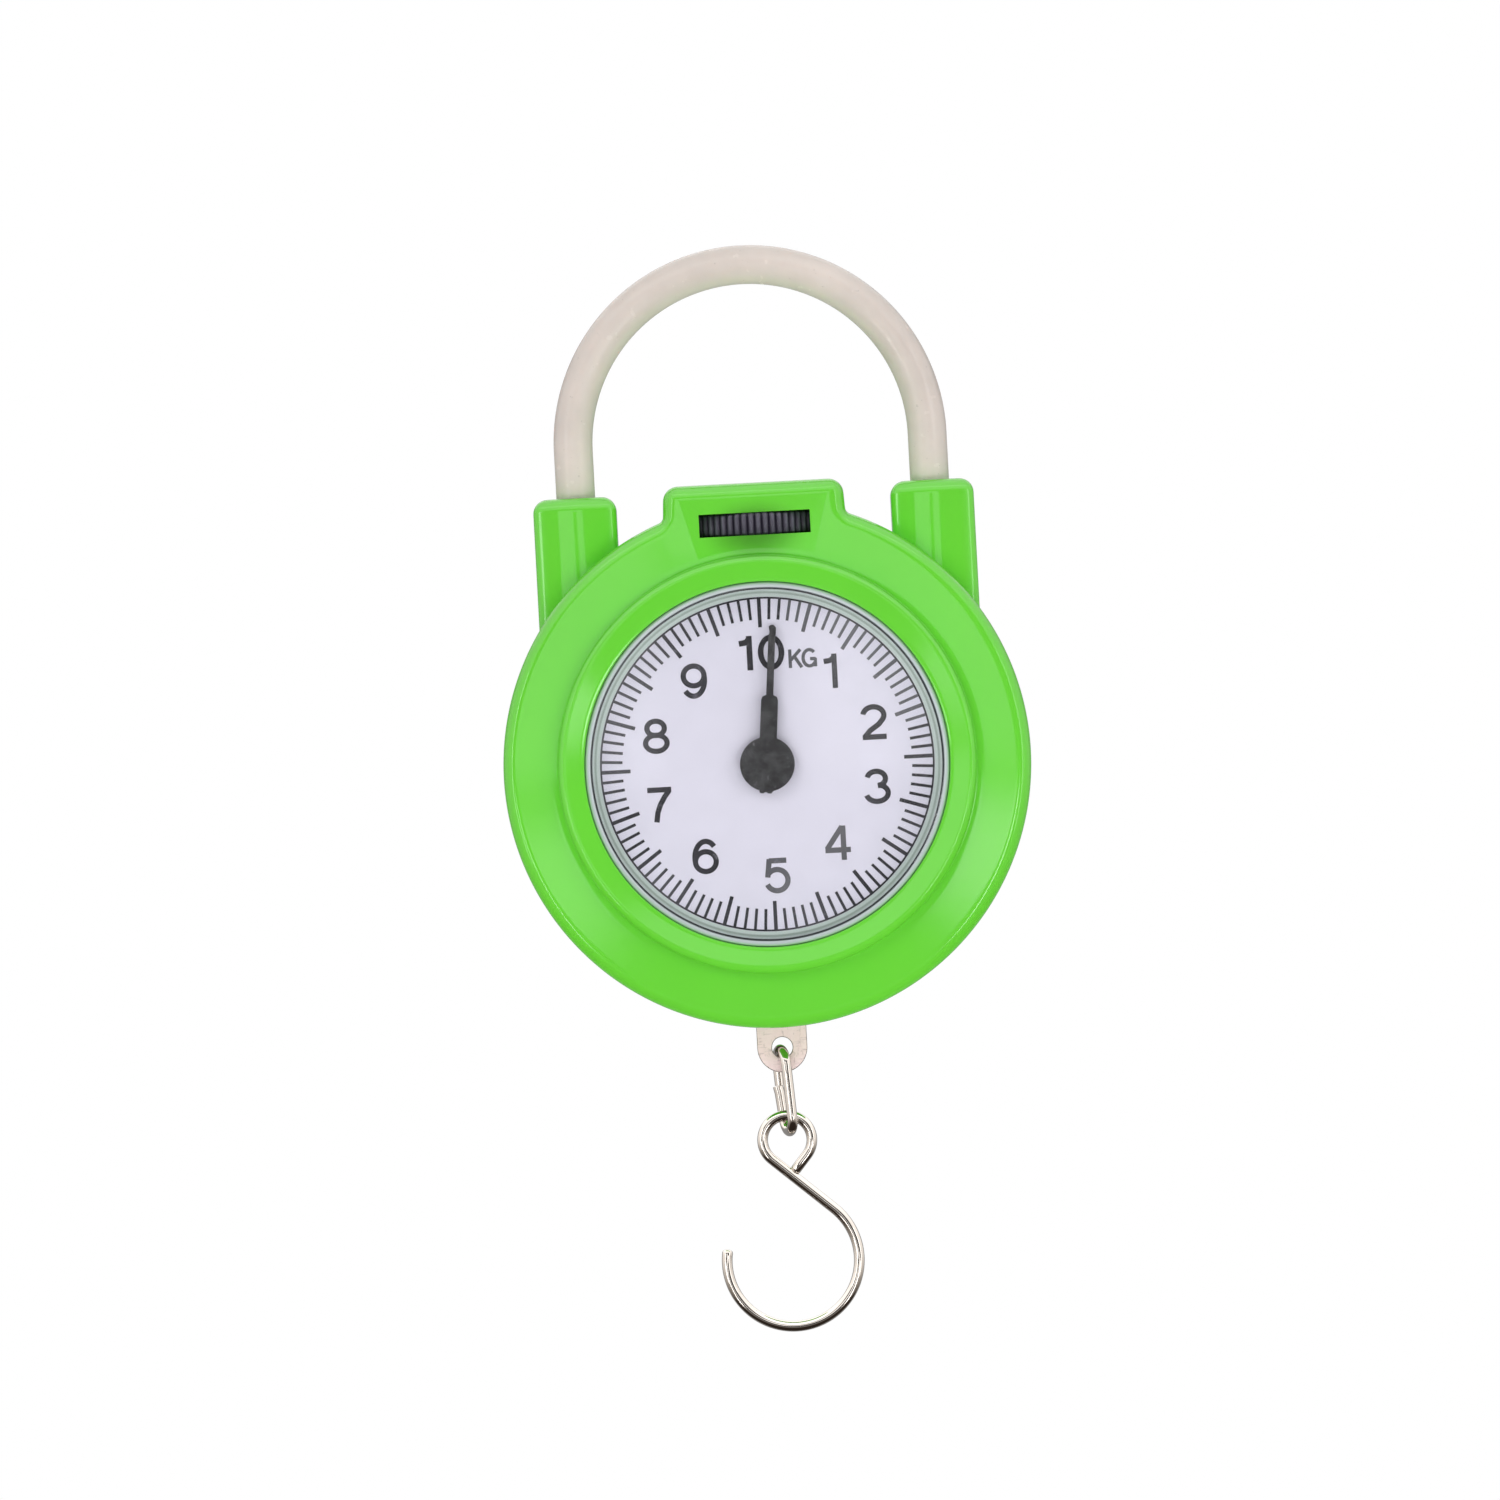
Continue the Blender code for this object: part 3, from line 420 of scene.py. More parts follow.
class Shader(Nodes):
    """A node material in the making: a Principled BSDF and helpers for what feeds it."""

    def __init__(self, name, colour, roughness, metallic=0.0, **sockets):
        self.mat = bpy.data.materials.new(name)
        self.mat.use_nodes = True
        super().__init__(self.mat.node_tree)
        self.bsdf = self.tree.nodes["Principled BSDF"]
        self.bsdf.inputs["Base Color"].default_value = (*colour, 1)
        self.bsdf.inputs["Roughness"].default_value = roughness
        self.bsdf.inputs["Metallic"].default_value = metallic
        for socket, value in sockets.items():
            self.bsdf.inputs[socket.replace("_", " ")].default_value = value
        self.place = self.node("ShaderNodeTexCoord").outputs["Object"]
        self.height = None

    def scaled(self, scale):
        """The object's coordinates stretched by a scale per axis."""
        mapping = self.node("ShaderNodeMapping")
        mapping.inputs["Scale"].default_value = scale
        self.link(self.place, mapping.inputs["Vector"])
        return mapping.outputs["Vector"]

    def noise(self, scale, detail=3.0, rough=0.5, stretch=None):
        made = self.node("ShaderNodeTexNoise")
        made.inputs["Scale"].default_value = scale
        made.inputs["Detail"].default_value = detail
        made.inputs["Roughness"].default_value = rough
        self.link(self.scaled(stretch) if stretch else self.place, made.inputs["Vector"])
        return made.outputs["Fac"]

    def distance(self, point, stretch=(1, 1, 1)):
        """How far each place is from a point, with every axis stretched by its own factor."""
        apart = self.node("ShaderNodeVectorMath", operation="DISTANCE")
        self.link(self.scaled(stretch), apart.inputs[0])
        apart.inputs[1].default_value = point * Vector(stretch)
        return apart.outputs["Value"]

    def clouds(self, noise, colour, dark, pale, start=0.3, end=0.7):
        """The colour times dark to times pale, as the noise goes from start to end."""
        return self.ramp(noise, [(start, shade(colour, dark)), (end, shade(colour, pale))])

    def colour(self, source):
        self.link(source, self.bsdf.inputs["Base Color"])

    def roughness(self, source, low, high):
        self.link(self.spread(source, 0, 1, low, high), self.bsdf.inputs["Roughness"])

    def bump(self, source, distance, strength=1.0):
        """Adds one layer of relief of that height in metres."""
        made = self.node("ShaderNodeBump")
        made.inputs["Strength"].default_value = strength
        made.inputs["Distance"].default_value = distance
        self.link(source, made.inputs["Height"])
        if self.height is not None:
            self.link(self.height, made.inputs["Normal"])
        self.height = made.outputs["Normal"]
        self.link(self.height, self.bsdf.inputs["Normal"])


def shade(colour, by):
    return tuple(min(1.0, c * by) for c in colour)


def green_plastic():
    colour = (0.144, 0.655, 0.041)
    s = Shader("green_plastic", colour, 0.2, Subsurface_Weight=0.12,
               Subsurface_Radius=(0.5, 1.0, 0.25), Subsurface_Scale=0.0012)
    clouds = s.mix(s.noise(45, 2), shade(colour, 0.95), shade(colour, 1.05))
    # Painted shade: a wide, darker patch round the slot stands in for the black wheel behind the thin wall
    # showing through.
    painted_shade_reach = s.distance(DIAL + Vector((0, FRONT_EDGE_Y, 32.6 * MM)), (0.6, 0.35, 1.0))
    s.colour(s.mix(s.spread(painted_shade_reach, MM, 5 * MM, kind="SMOOTHSTEP"), shade(colour, 0.5), clouds))
    s.roughness(s.noise(700, 4, 0.6), 0.05, 0.10)
    s.bump(s.noise(160, 2), 0.004 * MM, 0.5)
    return s.mat


def beige_plastic():
    colour = (0.685, 0.615, 0.565)
    s = Shader("beige_plastic", colour, 0.3, Subsurface_Weight=0.5,
               Subsurface_Radius=(1.0, 0.85, 0.75), Subsurface_Scale=0.003)
    patches = s.clouds(s.noise(120, 4, 0.6), colour, 0.94, 1.05)
    specks = s.ramp(s.noise(1800, 2), [(0.70, 0.0), (0.78, 1.0)])
    s.colour(s.mix(specks, patches, shade(colour, 0.82)))
    s.roughness(s.noise(500, 4), 0.18, 0.32)
    s.bump(s.noise(900, 4, 0.6), 0.015 * MM, 0.5)
    return s.mat


def dial_white():
    """White print stock. Past the scale it is painted with a green cast, the case's light reflected onto
    it, and a fine grey band.
    """
    colour = (0.83, 0.795, 0.915)
    s = Shader("dial_white", colour, 0.42)
    radius = s.distance(DIAL + Vector((0, DIAL_FRONT, 0)))
    paper = s.clouds(s.noise(260, 5, 0.6), colour, 0.97, 1.03, 0.25, 0.75)
    low, high = 23.0 * MM, 26.0 * MM
    pale, band, grey = (0.68, 0.77, 0.72), (0.42, 0.51, 0.45), (0.62, 0.67, 0.70)
    # Painted reflection past the scale: pale green rings for the case's light, with a fine grey band among
    # them.
    rings = [(23.4, pale), (23.75, pale), (23.9, band), (24.02, band), (24.2, pale), (24.7, grey)]
    rim = s.ramp(s.spread(radius, low, high), [((r * MM - low) / (high - low), tint) for r, tint in rings])
    outside = s.spread(radius, 23.3 * MM, 23.4 * MM)
    s.colour(s.mix(outside, paper, rim))
    s.roughness(s.noise(900, 3), 0.36, 0.5)
    s.bump(s.noise(2400, 3), 0.002 * MM, 0.3)
    return s.mat


def ink(name, dark, greyer):
    """Print: it fades over wide areas and is worn through in small spots."""
    s = Shader(name, dark, 0.5)
    greyer = s.ramp(s.noise(62, 2), [(0.46, dark), (0.66, greyer)])
    spots = s.ramp(s.noise(620, 5, 0.65), [(0.60, 0.0), (0.74, 0.7)])
    s.colour(s.mix(spots, greyer, (0.20, 0.19, 0.225)))
    s.roughness(s.noise(1500, 2), 0.4, 0.6)
    return s.mat


def black_plastic():
    """Moulded black with paler dust, worn spots and a pale fleck here and there."""
    s = Shader("black_plastic", (0.02, 0.02, 0.025), 0.42)
    cloud = s.ramp(s.noise(420, 4, 0.65), [(0.42, (0.013, 0.012, 0.014)), (0.68, (0.058, 0.056, 0.060))])
    flecks = s.ramp(s.noise(1250, 3, 0.6), [(0.66, 0.0), (0.75, 0.8)])
    s.colour(s.mix(flecks, cloud, (0.16, 0.155, 0.165)))
    s.roughness(s.noise(700, 4), 0.28, 0.55)
    s.bump(s.noise(1600, 4, 0.6), 0.02 * MM, 0.5)
    return s.mat


def wheel_plastic():
    """The same black, with a painted highlight: the ribs' crests are coloured a paler grey."""
    s = Shader("wheel_plastic", (0.02, 0.02, 0.025), 0.42)
    from_axis = s.distance(DIAL, (1, 1, 0))
    crest = s.spread(from_axis, WHEEL_R - 0.16 * MM, WHEEL_R)
    # Painted highlight: the crests get a paler grey, broken up by noise.
    painted_crest_highlight = s.maths("MULTIPLY", crest, s.spread(s.noise(600, 3), 0.35, 0.65, 0.5, 1.0))
    s.colour(s.mix(painted_crest_highlight, (0.022, 0.019, 0.032), (0.085, 0.08, 0.11)))
    s.roughness(s.noise(900, 3), 0.34, 0.5)
    s.bump(s.noise(2200, 3), 0.01 * MM, 0.5)
    return s.mat


def metal(name, colour, rough, grain, grain_height, tarnish=0.1):
    """Bare or plated metal. grain stretches the noise along the way it was brushed or drawn."""
    s = Shader(name, colour, sum(rough) / 2, 1.0)
    s.colour(s.clouds(s.noise(160, 4, 0.6), colour, 1 - tarnish, 1 + tarnish))
    lines = s.noise(1.0, 4, 0.6, stretch=grain)
    s.roughness(lines, *rough)
    if grain_height:
        s.bump(lines, grain_height, 0.6)
    return s.mat


def plate_metal():
    """Dull plated strip, pale pink-grey, with short scratches in two directions."""
    colour = (0.99, 0.755, 0.75)
    s = Shader("plate_metal", colour, 0.42, 0.08)
    along = s.noise(1.0, 3, 0.6, stretch=(700, 900, 4200))
    across = s.noise(1.0, 3, 0.6, stretch=(3600, 900, 800))
    cloud = s.clouds(s.noise(420, 4, 0.65), colour, 0.94, 1.06)
    scratch = s.ramp(s.maths("MAXIMUM", along, across), [(0.59, 0.0), (0.67, 1.0)])
    s.colour(s.mix(scratch, cloud, shade(colour, 0.74)))
    s.roughness(across, 0.34, 0.56)
    s.bump(along, 0.010 * MM, 0.5)
    s.bump(across, 0.006 * MM, 0.4)
    return s.mat


def clear_pane():
    """Clear plastic: light goes straight through, and each face adds its own reflection, which
    grows from 3.5 % head-on towards all of the light at a grazing angle."""
    mat = bpy.data.materials.new("clear_plastic")
    mat.use_nodes = True
    n = Nodes(mat.node_tree)
    n.tree.nodes.clear()
    output = n.node("ShaderNodeOutputMaterial")
    clear = n.node("ShaderNodeBsdfTransparent")
    clear.inputs["Color"].default_value = (0.985, 0.99, 0.99, 1)
    gloss = n.node("ShaderNodeBsdfGlossy")
    smudge = n.node("ShaderNodeTexNoise")
    smudge.inputs["Scale"].default_value = 140
    smudge.inputs["Detail"].default_value = 4
    n.link(n.node("ShaderNodeTexCoord").outputs["Object"], smudge.inputs["Vector"])
    n.link(n.spread(smudge.outputs["Fac"], 0, 1, 0.03, 0.08), gloss.inputs["Roughness"])
    turned_away = n.node("ShaderNodeLayerWeight").outputs["Facing"]
    share = n.spread(n.maths("POWER", turned_away, 5), 0, 1, 0.035, 1.0)
    top = n.node("ShaderNodeMixShader")
    n.link(share, top.inputs["Fac"])
    n.link(clear.outputs[0], top.inputs[1])
    n.link(gloss.outputs[0], top.inputs[2])
    n.link(top.outputs[0], output.inputs["Surface"])
    return mat


def pane_edge():
    """The window's own edge, seen through its face, with painted light: pale, then a painted green
    reflection of the case beside it.
    """
    s = Shader("clear_plastic_rim", (0.58, 0.62, 0.66), 0.12)
    radius = s.distance(DIAL, (1, 0, 1))
    low, high = 24.5 * MM, 25.5 * MM
    line, pale = (0.20, 0.21, 0.23), (0.52, 0.57, 0.60)
    painted_pale_case_green, painted_case_green = (0.47, 0.62, 0.49), (0.24, 0.52, 0.22)
    # Painted light: the pale band stands for light in the clear edge, the greens for the case reflected in
    # it.
    rings = [(24.6, line), (24.72, pale), (25.06, pale), (25.2, painted_pale_case_green), (25.42, painted_case_green)]
    stops = [((r * MM - low) / (high - low), tint) for r, tint in rings]
    s.colour(s.ramp(s.spread(radius, low, high), stops))
    s.roughness(s.noise(900, 3), 0.08, 0.2)
    return s.mat


GREEN = green_plastic()
BEIGE = beige_plastic()
WHITE = dial_white()
INK = ink("ink", (0.017, 0.015, 0.021), (0.07, 0.066, 0.078))
GREY_INK = ink("ink_faded", (0.10, 0.097, 0.11), (0.17, 0.165, 0.18))
BLACK = black_plastic()
RIBBED = wheel_plastic()
PLATE = plate_metal()
NICKEL = metal("nickel_wire", (0.65, 0.60, 0.55), (0.03, 0.07), (300, 300, 300), 0.0, 0.06)
SPRING_STEEL = metal("spring_wire", (0.5, 0.5, 0.51), (0.2, 0.4), (700, 700, 700), 0.004 * MM)
STEEL = metal("steel_strip", (0.55, 0.55, 0.56), (0.25, 0.45), (300, 4000, 4000), 0.006 * MM)
ZINC = metal("screw_steel", (0.58, 0.58, 0.6), (0.22, 0.42), (900, 900, 900), 0.006 * MM)
BRASS = metal("brass", (0.78, 0.56, 0.25), (0.2, 0.35), (3000, 300, 3000), 0.005 * MM)
PLATE_EDGE = metal("plate_edge", (0.26, 0.21, 0.18), (0.3, 0.45), (900, 900, 900), 0.004 * MM)
LENS = clear_pane()
LENS_RIM = pane_edge()


# -------- case


def case_distance(x, z):
    """Signed distance to the case's outline: a disc and the wheel's block, with filleted corners."""
    disc = math.hypot(x, z) - BODY_R
    half = TAB_HALF + TAB_FLARE * (TAB_TOP - z)
    centre, half_h = (TAB_TOP + TAB_LOW) / 2, (TAB_TOP - TAB_LOW) / 2
    qx = abs(x) - (half - TAB_CORNER)
    qz = abs(z - centre) - (half_h - TAB_CORNER)
    tab = math.hypot(max(qx, 0), max(qz, 0)) + min(max(qx, qz), 0) - TAB_CORNER
    corner = math.hypot(max(TAB_FILLET - disc, 0), max(TAB_FILLET - tab, 0))
    return max(TAB_FILLET, min(disc, tab)) - corner


def reach(angle, inset):
    """Distance from the dial's centre to the outline moved in by inset, along an angle."""
    x, z = math.cos(angle), math.sin(angle)
    low, high = 20 * MM, 45 * MM
    for _ in range(36):
        mid = (low + high) / 2
        if case_distance(x * mid, z * mid) < -inset:
            low = mid
        else:
            high = mid
    return low


def case_angles():
    """Angles round the case, close together at the corners of the wheel's block."""
    stretches = [(-90, 66, 1.2), (66, 77, 0.22), (77, 103, 0.65), (103, 114, 0.22), (114, 270, 1.2)]
    angles = []
    for start, end, step in stretches:
        count = round((end - start) / step)
        angles += [start + (end - start) * i / count for i in range(count)]
    return [math.radians(angle) for angle in angles]


ANGLES = case_angles()


def outline_ring(inset, y):
    reaches = [(angle, reach(angle, inset)) for angle in ANGLES]
    return [(far * math.cos(angle), y, far * math.sin(angle)) for angle, far in reaches]


def circle_ring(radius, y):
    return [(radius * math.cos(angle), y, radius * math.sin(angle)) for angle in ANGLES]


def front_rings():
    rings = [outline_ring(PARTING_CHAMFER, -PARTING), outline_ring(0, -PARTING - PARTING_CHAMFER)]
    for inset, short in quarter_round(FRONT_EDGE, 8):
        rings.append(outline_ring(inset, FRONT_EDGE_Y + short))
    # A narrow first strip keeps the edge's curve from bending the light on the broad face.
    rings.append(outline_ring(FRONT_EDGE + 0.35 * MM, FRONT_EDGE_Y - 0.017 * MM))
    profile = [(30.4, -10.42), (29.6, -10.46), (29.25, -10.52), (29.12, -10.7), (29.1, -11.0)]
    for inset, short in quarter_round(BEZEL_EDGE, 6):
        profile.append(((BEZEL_R - inset) / MM, (BEZEL_Y + short) / MM))
    # The bezel's face slopes in towards the window.
    profile += [(28.0, -12.481), (26.15, -12.3), (25.95, -12.28), (25.62, -12.2), (25.47, -12.02)]
    profile += [(WINDOW_R / MM, -11.8), (WINDOW_R / MM, -11.2), (27.4, -11.2), (27.4, -8.6)]
    rings += [circle_ring(radius, y) for radius, y in from_mm(profile)]
    # Inside, a tongue at the joint reaches into the rear cover's groove.
    tongue, tongue_y = 0.85 * MM, 0.6 * MM
    inside = [(CASE_WALL + 0.8 * MM, -8.6 * MM), (CASE_WALL, -7.8 * MM), (CASE_WALL, tongue_y)]
    inside += [(tongue, tongue_y), (tongue, -PARTING)]
    return rings + [outline_ring(inset, y) for inset, y in inside]


def rear_rings():
    rings = [outline_ring(PARTING_CHAMFER, PARTING), outline_ring(0, PARTING + PARTING_CHAMFER)]
    for inset, short in quarter_round(REAR_EDGE, 8):
        rings.append(outline_ring(inset, REAR_Y - short))
    rings += [circle_ring(25 * MM, REAR_Y), circle_ring(8 * MM, REAR_Y), [(0, REAR_Y, 0)]]
    rings += [[(0, REAR_IN_Y, 0)], circle_ring(28 * MM, REAR_IN_Y)]
    groove, groove_y = 0.75 * MM, 0.7 * MM
    inside = [(REAR_EDGE, REAR_IN_Y), (CASE_WALL, REAR_IN_Y - 1.5 * MM), (CASE_WALL, groove_y)]
    inside += [(groove, groove_y), (groove, PARTING)]
    return rings + [outline_ring(inset, y) for inset, y in inside]


def socket(side, facing):
    """Half of a handle socket: a gently swelling face between two rounded edges.
    side is -1 left, 1 right; facing is -1 for the front half and 1 for the rear half."""
    half, depth = SOCKET_HALF / MM, SOCKET_DEPTH / MM
    edge_depth, corner, lean = 5.2, 1.1, 19
    edge = arc((corner - half, corner - edge_depth), corner, 180, 270 - lean, 8)
    swell_half, swell_h = -edge[-1][0], depth + edge[-1][1]
    swell_r = (swell_half**2 + swell_h**2) / (2 * swell_h)
    spread = math.degrees(math.asin(swell_half / swell_r))
    swell = arc((0, swell_r - depth), swell_r, 270 - spread, 270 + spread, 20)
    one_edge = [(-half, PARTING / MM)] + [(x, -z) for x, z in edge]
    section = one_edge + [(x, -z) for x, z in swell[1:-1]] + [(-x, y) for x, y in reversed(one_edge)]
    rings = []
    heights = [(SOCKET_LOW, 0.0), (SOCKET_TOP - SOCKET_CORNER, 0.0)]
    heights += [(None, math.pi / 2 * i / 8) for i in range(1, 9)]
    for height, angle in heights:
        z = height if height is not None else SOCKET_TOP - SOCKET_CORNER * (1 - math.sin(angle))
        wide = 1 - SOCKET_CORNER * (1 - math.cos(angle)) / SOCKET_HALF
        deep = 1 - 1.5 * MM * (1 - math.cos(angle)) / SOCKET_DEPTH
        ring = []
        for x, y in section:
            depth = PARTING if y * MM <= PARTING else PARTING + (y * MM - PARTING) * deep
            ring.append((side * SOCKET_X + x * wide * MM, facing * depth, z))
        rings.append(ring)
    return rings_mesh(rings)


def case_shell(rings, facing):
    """The ring-built shell with both sockets, the shelves that hold the wheel, and every hole."""
    shell = rings_mesh(rings, closed=True)
    steps = [("UNION", socket(side, facing)) for side in SIDES]
    low_y, high_y = sorted((facing * PARTING, facing * SHELF_DEPTH))
    for low_z, high_z in SHELVES:
        steps.append(("UNION", box((-SHELF_HALF, low_y, low_z), (SHELF_HALF, high_y, high_z))))
    foot, top, hole_r = STEM_HOLE
    steps.append(("DIFFERENCE", cylinder((0, 0, foot), (0, 0, top), hole_r)))
    for x in (-HANDLE_R, HANDLE_R):
        bore = cylinder((x, 0, HANDLE_END_Z - 0.2 * MM), (x, 0, SOCKET_TOP + MM), ROD_R + 0.06 * MM, 64)
        steps.append(("DIFFERENCE", bore))
    half_x, half_y = PLATE_SLOT
    steps.append(("DIFFERENCE", box((-half_x, -half_y, -38 * MM), (half_x, half_y, -34 * MM))))
    return shell, steps


def front_case():
    shell, steps = case_shell(front_rings(), -1)
    slot = box((-SLOT_HALF, -13 * MM, SLOT_LOW), (SLOT_HALF, -2 * MM, SLOT_TOP))
    steps.append(("DIFFERENCE", slot))
    mesh = boolean(shell, steps, 32)
    piece("case_front", mesh, GREEN, "housing", ["front_shell"])


def rear_case():
    shell, steps = case_shell(rear_rings(), 1)
    post_x, post_z = SCREWS["case"][:2]
    for x in (-post_x, post_x):
        steps.append(("UNION", cylinder((x, 0.3 * MM, post_z), (x, 11.5 * MM, post_z), POST_R)))
    for kind in ("case", "handle"):
        screw_x, z, _, seat = SCREWS[kind][:4]
        for x in (-screw_x, screw_x):
            steps.append(("DIFFERENCE", cylinder((x, seat, z), (x, 14 * MM, z), COUNTERBORE_R)))
            steps.append(("DIFFERENCE", cylinder((x, 0.1 * MM, z), (x, seat + MM, z), SCREW_HOLE_R)))
    mesh = boolean(shell, steps, 32)
    piece("case_rear", mesh, GREEN, "housing", ["rear_cover"])


def screw(name, x, z, tip, seat, shank_r, head_r):
    """Pan-head screw with a cross recess, its head towards +Y."""
    top = seat + 1.2 * MM
    profile = [(0, top), (0.45 * head_r, top - 0.02 * MM), (0.75 * head_r, top - 0.16 * MM)]
    profile += [(0.93 * head_r, top - 0.45 * MM), (head_r, top - 0.8 * MM), (head_r, seat), (shank_r, seat)]
    pitch = 0.8 * MM
    y = seat - pitch
    while y > tip + 1.5 * pitch:
        profile += [(shank_r, y), (shank_r * 0.78, y - pitch / 2)]
        y -= pitch
    profile += [(shank_r * 0.7, tip + pitch), (0, tip)]
    mesh = turned(profile, 40, closed=False)
    mesh.transform(Matrix.Translation((x, 0, z)))
    arm, thin, deep = 0.55 * head_r, 0.13 * head_r, 0.7 * MM
    for wide, tall in ((arm, thin), (thin, arm)):
        recess = box((x - wide, top - deep, z - tall), (x + wide, top + MM, z + tall))
        mesh = boolean(mesh, [("DIFFERENCE", recess)], 30)
    piece(f"{name}_cross", mesh, ZINC, "housing", [name])


def screws():
    for word, side in (("left", -1), ("right", 1)):
        for kind, (x, z, tip, seat, shank_r, head_r) in SCREWS.items():
            screw(f"{kind}_screw_{word}", side * x, z, tip, seat + SCREW_GAP, shank_r, head_r)


def handle():
    path = [(HANDLE_R, 0, z) for z in (HANDLE_END_Z, 30 * MM, 36 * MM, 41 * MM)]
    path += [(x, 0, z) for x, z in arc((0, HANDLE_BEND_Z), HANDLE_R, 0, 180, 96)]
    path += [(-x, y, z) for x, y, z in reversed(path[:4])]
    mesh = swept(path, ROD_R, 48, round_ends=False)
    holes = []
    for x in (-HANDLE_R, HANDLE_R):
        z = SCREWS["handle"][1]
        holes.append(("DIFFERENCE", cylinder((x, -4 * MM, z), (x, 4 * MM, z), HANDLE_HOLE_R, 24)))
    piece("handle_rod", boolean(mesh, holes), BEIGE, "housing", ["handle"])


# -------- window and dial


def lens():
    """The flat pane, its rounded edge, and the skirt behind it that holds it in the case."""
    profile = [(0, -12.1), (24.3, -12.1), (RIM_R / MM, -12.08), (24.8, -12.02), (25.15, -11.85)]
    profile += [(25.34, -11.6), (25.34, -11.1), (27.2, -11.1), (27.2, -8.4), (24.75, -8.4)]
    profile += [(24.75, -10.45), (24.5, -10.7), (0, -10.7)]
    mesh = turned(from_mm(profile), 192, closed=False)
    for polygon in mesh.polygons:
        x, _, z = polygon.center
        polygon.material_index = int(math.hypot(x, z) > RIM_R)
    piece("window", mesh, [LENS, LENS_RIM], "housing", ["window_lens"])


def dial():
    hole_r, edge = 2.0 * MM, 0.1 * MM
    back = DIAL_FRONT + 1.0 * MM
    profile = [(DIAL_R - edge, DIAL_FRONT), (hole_r, DIAL_FRONT), (hole_r, back)]
    profile += [(DIAL_R, back), (DIAL_R, DIAL_FRONT + edge)]
    piece("dial", turned(profile, 160), WHITE, "housing", ["dial_plate"])


def ribbon(points, width):
    """A flat stroke of even width along (x, z) points, with square ends and mitred joints."""
    points = [Vector(point) for point in points]
    left, right = [], []
    for i, point in enumerate(points):
        before = (point - points[i - 1]).normalized() if i else None
        after = (points[i + 1] - point).normalized() if i + 1 < len(points) else None
        along = ((before or after) + (after or before)).normalized()
        side = Vector((-along.y, along.x))
        reach_out = width / 2
        if before and after:
            reach_out /= max(0.5, side.dot(Vector((-after.y, after.x))))
        left.append(point + side * reach_out)
        right.append(point - side * reach_out)
    return [tuple(point) for point in left + right[::-1]]


def ring_outline(radius, width, steps=180):
    return [arc((0, 0), radius + out, 0, 360, steps)[:-1] for out in (width / 2, -width / 2)]


def figure_strokes(figure):
    """Centrelines of a figure 4.8 high, in millimetres about its middle."""
    if figure == "9":
        return [[(-x, -z) for x, z in stroke] for stroke in figure_strokes("6")]
    strokes = {
        "0": [arc((0, 0), (1.42, 2.1), 90, 450, 40)],
        "1": [[(0.45, 2.4), (0.45, -2.4)], [(0.42, 2.0), (0.18, 1.66), (-0.2, 1.46), (-1.0, 1.36)]],
        "2": [arc((0.02, 0.92), (1.46, 1.18), 172, -28, 22) + [(0.72, -0.35), (-0.55, -1.2), (-1.3, -2.05)],
              [(-1.62, -2.1), (1.72, -2.1)]],
        "3": [arc((-0.05, 1.08), (1.28, 1.02), 168, -82, 22),
              arc((0.0, -0.95), (1.52, 1.15), 84, -168, 24)],
        "4": [[(0.62, 2.3), (-1.62, -0.82)], [(-1.85, -0.98), (1.7, -0.98)], [(0.72, 2.4), (0.72, -2.4)]],
        "5": [[(1.42, 2.1), (-1.02, 2.1)], [(-0.95, 2.35), (-1.28, -0.2)],
              arc((0.02, -0.62), (1.5, 1.48), 150, -158, 26)],
        "6": [arc((0.02, -0.72), (1.45, 1.38), 90, 450, 34), arc((0.1, -0.2), (1.57, 2.3), 192, 42, 22)],
        "7": [[(-1.62, 2.1), (1.72, 2.1)],
              [(1.45, 2.0), (0.75, 1.1), (0.1, 0.0), (-0.3, -1.1), (-0.5, -2.4)]],
        "8": [arc((0, 1.1), (1.22, 1.0), 90, 450, 30), arc((0, -0.98), (1.5, 1.12), 90, 450, 34)],
        "K": [[(-1.5, 2.4), (-1.5, -2.4)], [(1.35, 2.3), (-1.3, -0.35)], [(-0.35, 0.55), (1.55, -2.35)]],
        "G": [arc((0.05, 0), (1.85, 2.1), 42, 330, 30),
              [(0.2, -0.25), (1.85, -0.25)], [(1.72, -0.1), (1.72, -2.3)]],
    }
    return strokes[figure]


